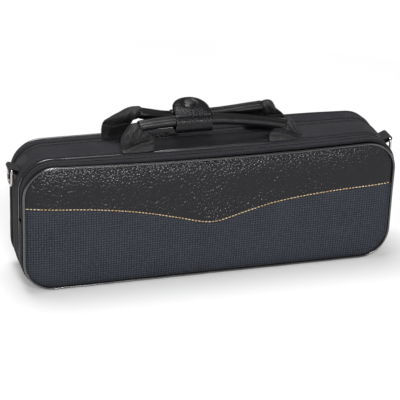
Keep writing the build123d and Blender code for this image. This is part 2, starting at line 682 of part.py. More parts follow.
def build():
    """Every piece of the case by its node's name."""
    flap_low = FLAP_HINGE_HEIGHT - FLAP_GAP / 2
    flap_high = FLAP_HINGE_HEIGHT + FLAP_GAP / 2
    front_edge = edge_piping(FRONT_Y + EDGE_PIPING_RADIUS)
    return {
        "body_band": body_band(),
        "divider_board": divider_board(),
        "seam_piping": seam_piping(),
        "hinge_strip": hinge_strip(),
        "instrument_tray": instrument_tray(),
        "main_zip_tape": zip_tape(ZIP_Y, -1, ZIP_END_HEIGHT),
        "main_zip_coil": zip_coil(ZIP_Y, -1, ZIP_END_HEIGHT),
        "strap_tab_left": left_hand(strap_tab()),
        "strap_tab_right": strap_tab(),
        "pocket_band": pocket_band(),
        "pocket_zip_tape": zip_tape(POCKET_ZIP_Y, 1, flap_low),
        "pocket_zip_coil": zip_coil(POCKET_ZIP_Y, 1, flap_low),
        "front_panel_lower": below(front_panel(), flap_low),
        "yoke_lower": below(yoke(), flap_low),
        "front_piping_lower": below(front_edge, flap_low),
        "flap_band": flap_band(),
        "flap_zip_tape": zip_tape(POCKET_ZIP_Y, -1, flap_high),
        "flap_zip_coil": zip_coil(POCKET_ZIP_Y, -1, flap_high),
        "front_panel_upper": above(front_panel(), flap_high),
        "yoke_upper": above(yoke(), flap_high),
        "front_piping_upper": above(front_edge, flap_high),
        "lid_band": lid_band(),
        "lid_zip_tape": zip_tape(ZIP_Y, 1, ZIP_END_HEIGHT),
        "lid_zip_coil": zip_coil(ZIP_Y, 1, ZIP_END_HEIGHT),
        "lid_hinge_strip": lid_hinge_strip(),
        "lid_pad": lid_pad(),
        "back_panel": back_panel(),
        "back_piping": edge_piping(BACK_Y - EDGE_PIPING_RADIUS),
        "strap_ring_left": left_hand(strap_ring()),
        "strap_ring_right": strap_ring(),
        "main_slider_left": on_main_zip(slider_body(), LEFT_SLIDER_X, 1),
        "main_slider_right": on_main_zip(slider_body(), RIGHT_SLIDER_X, -1),
        "main_pull_left": on_main_zip(pull_tab(), LEFT_SLIDER_X, 1),
        "main_pull_right": on_main_zip(pull_tab(), RIGHT_SLIDER_X, -1),
        "pocket_slider": on_pocket_zip(slider_body()),
        "pocket_pull": on_pocket_zip(pull_tab()),
        "front_grip": front_grip(),
        "front_web_left": front_web(FRONT_WEB_LEFT_X, FRONT_GRIP_LEFT, -1),
        "front_web_right": front_web(FRONT_WEB_RIGHT_X, FRONT_GRIP_RIGHT, 1),
        "wrap_band": wrap_band(),
        "wrap_tongue": wrap_tongue(),
        "snap_cap": snap_cap(),
        "rear_grip": rear_grip(),
        "rear_web_left": rear_web(REAR_WEB_LEFT_X, REAR_GRIP_LEFT, -1),
        "rear_web_right": rear_web(REAR_WEB_RIGHT_X, REAR_GRIP_RIGHT, 1),
        "rear_cuff": rear_cuff(),
        "snap_stud": snap_stud(),
    }


os.makedirs("parts", exist_ok=True)
for name, part in build().items():
    export_step(part, f"parts/{name}.step")
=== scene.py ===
"""Looks of a soft flute case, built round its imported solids.

Every size in this file is in millimetres until a piece is finished, when its mesh is
turned to metres. The origin lies on the ground under the middle of the case, +X runs
along it, -Y faces the pocket and +Z is up. "Inset" is a distance inside the case's
rounded outline and "run" a distance along it, from the middle of the base to the right.
"""

import json
import logging
from dataclasses import dataclass
from enum import Enum
from functools import partial
from math import acos, atan2, cos, exp, hypot, pi, radians, sin, tan
from typing import Callable, Iterable, Sequence

import bmesh
import bpy
from mathutils import Matrix, Vector, noise

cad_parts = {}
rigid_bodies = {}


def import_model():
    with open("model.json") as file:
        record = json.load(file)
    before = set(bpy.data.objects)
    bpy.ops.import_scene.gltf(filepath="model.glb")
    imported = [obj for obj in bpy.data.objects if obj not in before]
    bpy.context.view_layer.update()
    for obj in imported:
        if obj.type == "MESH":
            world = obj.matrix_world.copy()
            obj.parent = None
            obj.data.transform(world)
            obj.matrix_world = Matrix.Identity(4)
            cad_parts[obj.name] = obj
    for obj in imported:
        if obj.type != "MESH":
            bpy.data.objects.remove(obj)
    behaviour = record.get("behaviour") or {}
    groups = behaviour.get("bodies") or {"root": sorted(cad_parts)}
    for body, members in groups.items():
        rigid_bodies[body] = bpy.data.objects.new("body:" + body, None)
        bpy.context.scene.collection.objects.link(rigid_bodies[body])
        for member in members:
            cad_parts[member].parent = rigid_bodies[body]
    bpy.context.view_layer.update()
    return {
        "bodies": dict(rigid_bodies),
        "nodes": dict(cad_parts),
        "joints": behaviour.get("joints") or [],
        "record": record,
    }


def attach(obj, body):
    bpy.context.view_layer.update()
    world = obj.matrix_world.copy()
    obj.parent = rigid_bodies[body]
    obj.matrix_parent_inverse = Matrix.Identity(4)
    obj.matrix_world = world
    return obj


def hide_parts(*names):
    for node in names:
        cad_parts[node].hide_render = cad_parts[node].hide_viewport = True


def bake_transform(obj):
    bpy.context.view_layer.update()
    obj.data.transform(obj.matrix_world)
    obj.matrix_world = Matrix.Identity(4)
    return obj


LOG = logging.getLogger("flute_case")
MM = 0.001
# Vector noise starts from the clock unless it is seeded, and puckers would change each run.
PUCKER_SEED = 1795495958
FRAME: dict = {}

Spot = tuple[float, float]
Mesh = bmesh.types.BMesh
Piece = bpy.types.Object
Socket = bpy.types.NodeSocket
Mover = Callable[[Vector], Vector]


# Finishes -------------------------------------------------------------------------------


def linear(hex_colour: str) -> tuple[float, float, float, float]:
    """Turn an sRGB hex colour to linear light.

    Args:
        hex_colour: Six hex digits.

    Returns:
        Red, green, blue and an alpha of 1.
    """
    parts = (int(hex_colour[i : i + 2], 16) / 255 for i in (0, 2, 4))
    red, green, blue = (c / 12.92 if c <= 0.04045 else ((c + 0.055) / 1.055) ** 2.4 for c in parts)
    return red, green, blue, 1.0


class Inks:
    """Node tree of one material, with short ways to add to it."""

    def __init__(self, name: str) -> None:
        """Start a material.

        Args:
            name: What it is and how it is made.
        """
        self.material = bpy.data.materials.new(name)
        self.material.use_nodes = True
        self.tree = self.material.node_tree
        self.tree.nodes.clear()
        self.out = self.tree.nodes.new("ShaderNodeOutputMaterial")
        self.space = self.add("TexCoord").outputs["Object"]

    def add(self, kind: str, inputs: dict | None = None, **settings: object) -> bpy.types.Node:
        """Add a node.

        Args:
            kind: Node type without its ShaderNode prefix.
            inputs: Values or output sockets by the input's name or number.
            settings: Properties of the node itself.

        Returns:
            The new node.
        """
        node = self.tree.nodes.new("ShaderNode" + kind)
        for key, value in settings.items():
            setattr(node, key, value)
        for key, value in (inputs or {}).items():
            if isinstance(value, Socket):
                self.tree.links.new(value, node.inputs[key])
            else:
                node.inputs[key].default_value = value
        return node

    def math(self, operation: str, *values: object) -> Socket:
        """Result of a Math node on one to three values or sockets."""
        return self.add("Math", dict(enumerate(values)), operation=operation).outputs[0]

    def wave(self, axis: Socket, length: float) -> Socket:
        """Sine along an axis in metres, half a turn for each length in millimetres."""
        return self.math("SINE", self.math("MULTIPLY", axis, pi / (length * MM)))

    def blend(self, factor: object, *colours: object) -> Socket:
        """Colour between two, each a hex colour or a socket."""
        first, second = (linear(c) if isinstance(c, str) else c for c in colours)
        return self.add("Mix", {0: factor, "A": first, "B": second}, data_type="RGBA").outputs["Result"]

    def cells(self, size: float) -> Socket:
        """Distance to the middle of cells of a size in millimetres."""
        return self.add("TexVoronoi", {"Vector": self.space, "Scale": 1 / (size * MM)}).outputs["Distance"]

    def cloud(self, size: float, detail: float = 2.0, stretch: float = 1.0) -> Socket:
        """Noise from 0 to 1.

        Args:
            size: Size of its features in millimetres.
            detail: Octaves of finer noise.
            stretch: How many times shorter its features are along Z.

        Returns:
            The noise.
        """
        space = self.add("Mapping", {"Vector": self.space, "Scale": (1.0, 1.0, stretch)}).outputs[0]
        inputs = {"Vector": space, "Scale": 1 / (size * MM), "Detail": detail}
        return self.add("TexNoise", inputs).outputs["Fac"]

    def ramp(self, value: object, low: float, high: float) -> Socket:
        """Value mapped from low..high to 0..1, held at the ends."""
        return self.add("MapRange", {"Value": value, "From Min": low, "From Max": high}).outputs["Result"]

    def raised(self, height: object, relief: float) -> Socket:
        """Normal of a height from 0 to 1 that stands a relief in millimetres."""
        inputs = {"Height": height, "Distance": relief * MM, "Strength": 1.0}
        return self.add("Bump", inputs).outputs["Normal"]

    def skin(self, **inputs: object) -> bpy.types.Material:
        """Material with a Principled shader.

        Args:
            inputs: Its inputs, with underscores for spaces.

        Returns:
            The finished material.
        """
        shader = self.add("BsdfPrincipled", {key.replace("_", " "): inputs[key] for key in inputs})
        self.tree.links.new(shader.outputs[0], self.out.inputs["Surface"])
        return self.material


@dataclass(frozen=True)
class Recipe:
    """Name of a material, and its main and second colour."""

    name: str
    face: str
    shade: str


@dataclass(frozen=True)
class Weave(Recipe):
    """Plain woven nylon: fine crossing threads that soften its sheen."""

    thread: float
    relief: float = 0.12

    def make(self) -> bpy.types.Material:
        """Threads over and under each other, on the piece's own UV in metres, with painted shade between
        them.

        Returns:
            The material.
        """
        ink = Inks(self.name)
        axes = ink.add("SeparateXYZ", {0: ink.add("UVMap").outputs["UV"]}).outputs
        crossed = ink.math("MULTIPLY", ink.wave(axes[0], self.thread), ink.wave(axes[1], self.thread))
        height = ink.ramp(crossed, -1.0, 1.0)
        # Painted shade: the raised threads get the main colour and the low places between them get the
        # darker second colour, varied by a lint noise.
        lit = ink.math("MULTIPLY", height, ink.ramp(ink.cloud(1.7), 0.2, 0.7))
        threads = ink.blend(lit, self.shade, self.face)
        return ink.skin(
            Base_Color=ink.blend(ink.ramp(ink.cloud(34.0, 3.0), 0.42, 0.85), threads, self.shade),
            Roughness=0.85, Specular_IOR_Level=0.15, Sheen_Weight=0.04, Sheen_Roughness=0.5,
            Normal=ink.raised(height, self.relief),
        )


@dataclass(frozen=True)
class DobbyNylon(Recipe):
    """Ballistic nylon with a pin-point dobby: rows of raised floats, with painted shade on the ground and in
    the lines between them.
    """

    line: str
    pitch: float

    def make(self) -> bpy.types.Material:
        """Square cells with a raised middle and lines between, in X and Z; the middles are painted lighter
        and the lines darker, as painted light and shade.

        Returns:
            The material.
        """
        ink = Inks(self.name)
        axes = ink.add("SeparateXYZ", {0: ink.space}).outputs
        across, upward = (ink.math("ABSOLUTE", ink.wave(axes[i], self.pitch)) for i in (0, 2))
        dot = ink.ramp(ink.math("MULTIPLY", across, upward), 0.15, 0.8)
        fine = ink.wave(axes[2], self.pitch / 4)
        # Painted shade: the low ground between the floats, mottled at random between two dark colours.
        ground = ink.blend(ink.ramp(ink.cloud(46.0), 0.3, 0.7), self.line, self.shade)
        lit = ink.math("MULTIPLY", dot, ink.ramp(ink.cloud(2.1, 3.0), 0.15, 0.65))
        return ink.skin(
            Base_Color=ink.blend(lit, ground, self.face),
            Roughness=0.66, Specular_IOR_Level=0.28, Sheen_Weight=0.06, Sheen_Roughness=0.45,
            Normal=ink.raised(ink.math("ADD", dot, ink.math("MULTIPLY", fine, 0.08)), 0.22),
        )


@dataclass(frozen=True)
class Leatherette(Recipe):
    """Vinyl-coated cloth, embossed: rounded pebbles that sparkle, shallow creases between."""

    grain: float
    relief: float
    roughness: float
    gloss: float

    def make(self) -> bpy.types.Material:
        """Pebbles of two sizes whose tops are a little smoother than their creases, with painted shade in
        the creases.

        Returns:
            The material.
        """
        ink = Inks(self.name)
        pebble, small = ink.cells(self.grain), ink.cells(self.grain * 0.6)
        dome = ink.math("SUBTRACT", 1.0, ink.math("POWER", pebble, 2.0))
        height = ink.math("ADD", dome, ink.math("MULTIPLY", small, -0.15))
        shine = ink.math("MULTIPLY", ink.ramp(pebble, 0.1, 0.8), 0.1)
        worn = ink.math("MULTIPLY", ink.cloud(28.0, 3.0), 0.06)
        return ink.skin(
            # Painted shade: the creases between the pebbles get the darker second colour.
            Base_Color=ink.blend(ink.ramp(pebble, 0.25, 0.8), self.face, self.shade),
            Roughness=ink.math("ADD", ink.math("ADD", shine, self.roughness), worn),
            Specular_IOR_Level=self.gloss,
            Normal=ink.raised(height, self.relief),
        )


@dataclass(frozen=True)
class SmoothVinyl(Recipe):
    """Extruded vinyl: smooth, so that it draws a line of light along each cord."""

    roughness: float
    peel: float
    gloss: float
    lacquer: float

    def make(self) -> bpy.types.Material:
        """Nearly even colour, slightly rubbed, with a fine orange-peel surface.

        Returns:
            The material.
        """
        ink = Inks(self.name)
        peel = ink.cloud(1.6, 3.0)
        return ink.skin(
            Base_Color=ink.blend(ink.ramp(ink.cloud(17.0, 4.0), 0.45, 0.8), self.face, self.shade),
            Roughness=ink.math("ADD", self.roughness, ink.math("MULTIPLY", peel, 0.12)),
            Specular_IOR_Level=self.gloss,
            Coat_Weight=self.lacquer, Coat_Roughness=self.roughness * 0.7,
            Normal=ink.raised(peel, self.peel),
        )


@dataclass(frozen=True)
class Ribbed(Recipe):
    """Woven tape with ribs across it, as strap webbing and zip tape have."""

    rib: float
    relief: float

    def make(self) -> bpy.types.Material:
        """Ribs along the first UV axis, each a slanted row of yarn, with painted shade between the ribs.

        Returns:
            The material.
        """
        ink = Inks(self.name)
        turn, slant = 2 * pi / (self.rib * MM), 0.35
        axes = ink.add("SeparateXYZ", {0: ink.add("UVMap").outputs["UV"]}).outputs
        ribs = ink.math("MULTIPLY", axes[0], turn)
        lean = ink.math("MULTIPLY", ink.math("PINGPONG", axes[1], 2.2 * MM), slant * turn)
        height = ink.ramp(ink.math("SINE", ink.math("ADD", ribs, lean)), -1.0, 1.0)
        # Painted shade: the grooves between the ribs get the darker second colour, varied by a lint noise;
        # the worn patches below darken it at random.
        lit = ink.math("MULTIPLY", height, ink.ramp(ink.cloud(1.2, 3.0), 0.2, 0.6))
        worn = ink.math("MULTIPLY", ink.ramp(ink.cloud(23.0), 0.5, 0.8), 0.35)
        return ink.skin(
            Base_Color=ink.blend(worn, ink.blend(lit, self.shade, self.face), self.shade),
            Roughness=0.55, Specular_IOR_Level=0.4, Sheen_Weight=0.05, Sheen_Roughness=0.4,
            Normal=ink.raised(height, self.relief),
        )


@dataclass(frozen=True)
class Plush(Recipe):
    """Short-pile velour over foam: soft sheen, and a painted sheen in patches where the pile lies
    differently.
    """

    def make(self) -> bpy.types.Material:
        """Pile painted lighter in random patches as a painted sheen, with a strong sheen and a fuzzy
        surface.

        Returns:
            The material.
        """
        ink = Inks(self.name)
        fuzz = ink.cloud(0.9, 4.0)
        # Painted sheen: where the pile stands up in random patches, it gets the lighter second colour.
        lie = ink.math("MULTIPLY", ink.ramp(ink.cloud(19.0, 4.0), 0.35, 0.68), fuzz)
        return ink.skin(
            Base_Color=ink.blend(lie, self.face, self.shade),
            Roughness=0.95, Sheen_Weight=0.5, Sheen_Roughness=0.35,
            Normal=ink.raised(fuzz, 0.5),
        )


@dataclass(frozen=True)
class Moulded(Recipe):
    """Moulded plastic or pressed board, with a fine matt grain that dulls its shine."""

    roughness: float
    grain: float

    def make(self) -> bpy.types.Material:
        """Even colour with a fine grain.

        Returns:
            The material.
        """
        ink = Inks(self.name)
        grain = ink.cloud(self.grain, 3.0)
        return ink.skin(
            Base_Color=ink.blend(ink.ramp(grain, 0.3, 0.7), self.shade, self.face),
            Roughness=ink.math("ADD", self.roughness, ink.math("MULTIPLY", grain, 0.15)),
            Normal=ink.raised(grain, 0.06),
        )


@dataclass(frozen=True)
class Metal(Recipe):
    """Die-cast or drawn metal, plated or enamelled, with fine handling scratches."""

    metallic: float
    roughness: float

    def make(self) -> bpy.types.Material:
        """Smooth coat with long fine scratches and small dull patches.

        Returns:
            The material.
        """
        ink = Inks(self.name)
        scratch = ink.ramp(ink.cloud(1.1, 5.0, 9.0), 0.5, 0.8)
        dull = ink.math("MULTIPLY", ink.cloud(5.0, 3.0), 0.14)
        return ink.skin(
            Base_Color=ink.blend(scratch, self.face, self.shade),
            Metallic=self.metallic,
            Roughness=ink.math("ADD", self.roughness, dull),
            Normal=ink.raised(scratch, 0.015),
        )


@dataclass(frozen=True)
class Thread(Recipe):
    """Twisted polyester sewing thread: two plies that catch the light."""

    def make(self) -> bpy.types.Material:
        """Slanting plies painted lighter as painted highlights, with painted shade between them, and colour
        that varies a little along the seam.

        Returns:
            The material.
        """
        ink = Inks(self.name)
        twist = {"Vector": ink.space, "Scale": 1 / (3.2 * MM), "Distortion": 0.6}
        ply = ink.add("TexWave", twist, bands_direction="DIAGONAL").outputs["Fac"]
        # Painted light: the plies get the lighter first colour as a painted highlight, and the hollows get
        # the darker second colour as painted shade.
        lit = ink.math("MULTIPLY", ink.ramp(ply, 0.0, 0.5), ink.ramp(ink.cloud(9.0), 0.35, 0.7))
        return ink.skin(
            Base_Color=ink.blend(lit, self.shade, self.face),
            Roughness=0.55, Sheen_Weight=0.2,
            Normal=ink.raised(ply, 0.1),
        )


class Finish(Enum):
    """Every finish on the case, and the record's material slot that it stands for."""

    # The threads of BAND (really 0.5), the floats of PANEL (1.5), the pebbles of YOKE and WRAP
    # (1.2) and the ribs of WEBBING (1.0) are drawn coarser than they are, so that they show.
    # The second colour of BAND, PANEL, WEBBING and TAPE is painted shade between threads or ribs. Of YOKE,
    # WRAP and GRIP it is painted shade in the creases, and of PLUSH a painted sheen. Each thread's first
    # colour is a painted highlight and its second a painted shade.
    BAND = (Weave("woven nylon band", "3c3b40", "232226", 0.9), "band_nylon")
    PANEL = (DobbyNylon("dobby nylon panel", "424754", "1d2027", "121419", 2.9), "panel_ripstop")
    YOKE = (Leatherette("pebbled leatherette", "131118", "0b0b10", 2.8, 0.5, 0.14, 0.29), "yoke_leatherette")
    WRAP = (Leatherette("soft leatherette", "0f0e13", "09090c", 1.7, 0.19, 0.17, 0.27), "yoke_leatherette")
    PIPING = (SmoothVinyl("vinyl piping", "121215", "19191d", 0.17, 0.03, 1.0, 0.6), "piping_vinyl")
    GRIP = (Leatherette("folded vinyl grip", "111114", "0a0a0c", 2.0, 0.1, 0.24, 0.36), "grip_vinyl")
    WEBBING = (Ribbed("ribbed webbing", "2b2a2d", "171719", 1.5, 0.3), "webbing")
    TAPE = (Ribbed("zip tape", "38383d", "222226", 0.9, 0.1), "zip_tape")
    PLUSH = (Plush("velour pile", "1d2130", "39405a"), "plush")
    BOARD = (Moulded("lined board", "2a2a2e", "1f1f23", 0.75, 1.4), "stiff_board")
    COIL = (Moulded("nylon coil", "29292d", "1d1d20", 0.38, 0.5), "zip_coil")
    ENAMEL = (Metal("black enamel on zinc", "141416", "232327", 0.15, 0.4), "zip_metal")
    SNAP = (Metal("black enamel on brass", "121214", "1b1b1e", 0.0, 0.45), "snap_metal")
    NICKEL = (Metal("nickel plate on steel", "c9c3c0", "8f8a88", 1.0, 0.18), "ring_metal")
    DARK_THREAD = (Thread("black thread", "222226", "101012"), "band_nylon")
    CONTRAST_THREAD = (Thread("tan thread", "f4e8d2", "c6a473"), "yoke_leatherette")

    def wear(self, obj: Piece) -> None:
        """Dress an object in this finish.

        Args:
            obj: A new piece, or a solid that stays in view.
        """
        recipe, slot = self.value
        obj.data.materials.clear()
        obj.data.materials.append(bpy.data.materials.get(recipe.name) or recipe.make())


# Drawing --------------------------------------------------------------------------------


def share(value: float, low: float, high: float) -> float:
    """How far a value is from low to high, held to 0..1."""
    return max(0.0, min(1.0, (value - low) / (high - low)))


def bracket(rows: Sequence[Sequence[float]], value: float) -> int:
    """Index of the row at or before a value, but never the last row."""
    return max(0, min(len(rows) - 2, sum(value >= row[0] for row in rows) - 1))


def ring(radius_x: float, radius_y: float, count: int, square: float = 2.0) -> list[Vector]:
    """Points of a rounded ring in the XY plane.

    Args:
        radius_x: Half its width.
        radius_y: Half its depth.
        count: How many points.
        square: 2 for an ellipse, more for a squarer ring.

    Returns:
        The points, anticlockwise from +X.
    """
    points = []
    for i in range(count):
        c, s = cos(2 * pi * i / count), sin(2 * pi * i / count)
        scale = (abs(c) ** square + abs(s) ** square) ** (-1 / square)
        points.append(Vector((radius_x * c * scale, radius_y * s * scale, 0.0)))
    return points


class Pen:
    """Draws a section through space; each move extrudes what was drawn last."""

    def __init__(self, points: Sequence[Sequence[float]], closed: bool = False) -> None:
        """Put down the section.

        Args:
            points: Its corners.
            closed: Whether the last corner joins the first.
        """
        self.bm = bmesh.new()
        verts = [self.bm.verts.new(point) for point in points]
        pairs = zip(verts, verts[1:] + verts[:1] if closed else verts[1:])
        self.last = [*verts, *[self.bm.edges.new(pair) for pair in pairs]]

    def turn(
        self, centre: Sequence[float], angle: float, steps: int = 1, drift: Sequence[float] = (0, 0, 0)
    ) -> "Pen":
        """Turn about an axis along Y.

        Args:
            centre: A point of the axis.
            angle: How far in all, in radians.
            steps: In how many steps.
            drift: Shift at each step.

        Returns:
            The pen itself.
        """
        self.last = bmesh.ops.spin(
            self.bm, geom=self.last, cent=centre, axis=(0, 1, 0), dvec=drift, angle=angle,
            steps=steps, use_merge=False, use_duplicate=False,
        )["geom_last"]
        return self

    def line(self, way: Sequence[float], steps: int = 1) -> "Pen":
        """Move straight by a vector, in steps."""
        return self.turn((0, 0, 0), 0.0, steps, Vector(way) / steps)

    def corners(self) -> list[bmesh.types.BMVert]:
        """Corners of the section drawn last."""
        return [item for item in self.last if isinstance(item, bmesh.types.BMVert)]

    def reach(self, goal: Vector, steps: int) -> "Pen":
        """Move straight in XZ, in steps, until the first corner is beside a goal."""
        way = goal - self.corners()[0].co
        return self.line((way.x, 0, way.z), steps)

    def grow(self, scale: Sequence[float], centre: Sequence[float] = (0, 0, 0)) -> "Pen":
        """Scale the section drawn last about a centre."""
        bmesh.ops.scale(self.bm, vec=scale, verts=self.corners(), space=Matrix.Translation(-Vector(centre)))
        return self


def merge(bm: Mesh, gap: float) -> None:
    """Merge corners that lie within a gap and point the faces outwards."""
    bmesh.ops.remove_doubles(bm, verts=bm.verts, dist=gap)
    bmesh.ops.recalc_face_normals(bm, faces=bm.faces)


def close_up(bm: Mesh, gap: float = 0.001) -> list[bmesh.types.BMFace]:
    """Fill a mesh's open ends and merge it.

    Args:
        bm: The mesh.
        gap: How near doubled corners are.

    Returns:
        The faces that fill the ends.
    """
    edges = [edge for edge in bm.edges if edge.is_boundary]
    ends = bmesh.ops.holes_fill(bm, edges=edges, sides=0)["faces"]
    merge(bm, gap)
    return ends


def keep_side(bm: Mesh, point: Sequence[float], out: Sequence[float]) -> None:
    """Cut a mesh with a plane and drop what lies on its outward side."""
    geom = [*bm.verts, *bm.edges, *bm.faces]
    bmesh.ops.bisect_plane(bm, geom=geom, dist=0.001, plane_co=point, plane_no=out, clear_outer=True)


def move_points(bm: Mesh, *movers: Mover) -> None:
    """Shift every corner of a mesh.

    Args:
        bm: The mesh.
        movers: Applied in turn.
    """
    for vert in bm.verts:
        for mover in movers:
            vert.co = mover(vert.co)


def puckered(depth: float, length: float, seed: float) -> Mover:
    """Mover that adds small soft puckers.

    Args:
        depth: How far they move a point.
        length: Their size along the cloth.
        seed: Sets one piece's puckers apart from another's.

    Returns:
        The mover.
    """
    return lambda point: point + noise.noise_vector(point / length + Vector((seed, seed, seed))) * depth


def lay_uv(bm: Mesh, chart: Callable[[Vector, Vector], Spot]) -> None:
    """Give a mesh a UV map in metres.

    Args:
        bm: The mesh, in millimetres.
        chart: Gives a corner's place on the cloth, from the corner and its face's middle.
    """
    layer = bm.loops.layers.uv.verify()
    for face in bm.faces:
        middle = face.calc_center_median()
        for loop in face.loops:
            loop[layer].uv = Vector(chart(loop.vert.co, middle)) * MM


def ray(angle: float) -> Vector:
    """Unit vector in the XZ plane, at an angle from +X towards +Z."""
    return Vector((cos(angle), 0, sin(angle)))


def placed(spot: Vector, along: Vector, out: Vector) -> Matrix:
    """Place whose X runs along a seam and whose Z points out of the cloth."""
    return Matrix.Translation(spot) @ Matrix((along, out.cross(along), out)).transposed().to_4x4()


def baked(name: str, bm: Mesh) -> bpy.types.Mesh:
    """Turn a drawn mesh into one that an object can have.

    Args:
        name: Its name.
        bm: The drawn mesh; it is freed.

    Returns:
        The new mesh.
    """
    mesh = bpy.data.meshes.new(name)
    bm.to_mesh(mesh)
    bm.free()
    return mesh


def hung(name: str, data: bpy.types.ID, place: Matrix = Matrix()) -> Piece:
    """Put an object into the scene.

    Args:
        name: Its name.
        data: Its mesh, lamp or camera.
        place: Where it is.

    Returns:
        The object.
    """
    obj = bpy.data.objects.new(name, data)
    obj.matrix_world = place
    bpy.context.scene.collection.objects.link(obj)
    return obj


def scattered(seed: Mesh, places: Iterable[Matrix]) -> Mesh:
    """Copies of a small mesh at many places.

    Args:
        seed: The mesh to copy; it is freed.
        places: Where each copy goes.

    Returns:
        One mesh with all the copies.
    """
    source = baked("seed", seed)
    made = bmesh.new()
    for place in places:
        first = len(made.verts)
        made.from_mesh(source)
        made.verts.ensure_lookup_table()
        bmesh.ops.transform(made, matrix=place, verts=made.verts[first:])
    bpy.data.meshes.remove(source)
    return made


def stitch(length: float, width: float) -> Mesh:
    """One stitch along X that dips into the cloth at both ends.

    Args:
        length: From hole to hole.
        width: Thickness of the thread.

    Returns:
        The mesh, its middle at the origin.
    """
    half = width / 2
    pen = Pen([(-length / 2, p.x * 0.5, p.y * 0.5 - half) for p in ring(half, half, 6)], True)
    pen.line((length * 0.2, 0, half)).grow((1, 2, 2), (-length * 0.3, 0, 0))
    pen.line((length * 0.6, 0, 0)).line((length * 0.2, 0, -half))
    pen.grow((1, 0.5, 0.5), (length / 2, 0, -half))
    close_up(pen.bm)
    return pen.bm


def piece(name: str, bm: Mesh, finish: Finish) -> Piece:
    """Turn a drawn mesh into an object in metres, dressed in a finish.

    Args:
        name: Name of the object.
        bm: Its mesh in millimetres; it is freed.
        finish: What it is made of.

    Returns:
        The object, at the origin.
    """
    bmesh.ops.scale(bm, vec=(MM, MM, MM), verts=bm.verts)
    for face in bm.faces:
        face.smooth = True
    obj = hung(name, baked(name, bm))
    finish.wear(obj)
    LOG.info("%s: %d faces", name, len(obj.data.polygons))
    return obj


def modify(obj: Piece, kind: str, **settings: object) -> None:
    """Add a modifier.

    Args:
        obj: The piece.
        kind: Type of the modifier.
        settings: Its properties.
    """
    modifier = obj.modifiers.new(kind.lower(), kind)
    for key, value in settings.items():
        setattr(modifier, key, value)


def thicken(obj: Piece, wall: float, offset: float = -1.0) -> None:
    """Give a sheet a wall in millimetres, inwards unless the offset says otherwise."""
    modify(obj, "SOLIDIFY", thickness=wall * MM, offset=offset, use_even_offset=True)


def soften(obj: Piece) -> None:
    """Round a piece with a subdivision surface."""
    modify(obj, "SUBSURF", levels=1, render_levels=1)


def ease(obj: Piece, radius: float) -> None:
    """Round a piece's sharp edges by a radius in millimetres."""
    modify(obj, "BEVEL", width=radius * MM, segments=2, limit_method="ANGLE", angle_limit=radians(50))


@dataclass(frozen=True)
class Fold:
    """Where cloth folds from one body to the next: bodies a and b, and a start and an end in metres."""

    a: str
    b: str
    start: tuple[float, float, float]
    end: tuple[float, float, float]


FLAP_FOLD = Fold("case_body", "pocket_flap", (0, -0.040, 0.083), (0, -0.040, 0.093))
LID_FOLD = Fold("case_body", "lid", (0, 0.0180, 0), (0, 0.0220, 0))
FRONT_FOOT = Fold("case_body", "front_handle", (0, -0.0196, 0.1495), (0, -0.0196, 0.1565))
REAR_FOOT = Fold("lid", "rear_handle", (0, 0.0296, 0.1505), (0, 0.0296, 0.1575))
TONGUE_FOLD = Fold("front_handle", "wrap_tongue", (0, -0.00820, 0.18415), (0, -0.00508, 0.18831))


def carry(obj: Piece, by: str | Fold, *nodes: str) -> None:
    """Hide the solids a piece stands for and attach it to its body; a piece on a fold is only fixed where it
    is.

    Args:
        obj: The piece.
        by: A body, or the fold between two.
        nodes: The solids.
    """
    if nodes:
        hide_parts(*nodes)
    if isinstance(by, Fold):
        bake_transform(obj)
    else:
        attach(obj, by)


# Shape of the case ----------------------------------------------------------------------


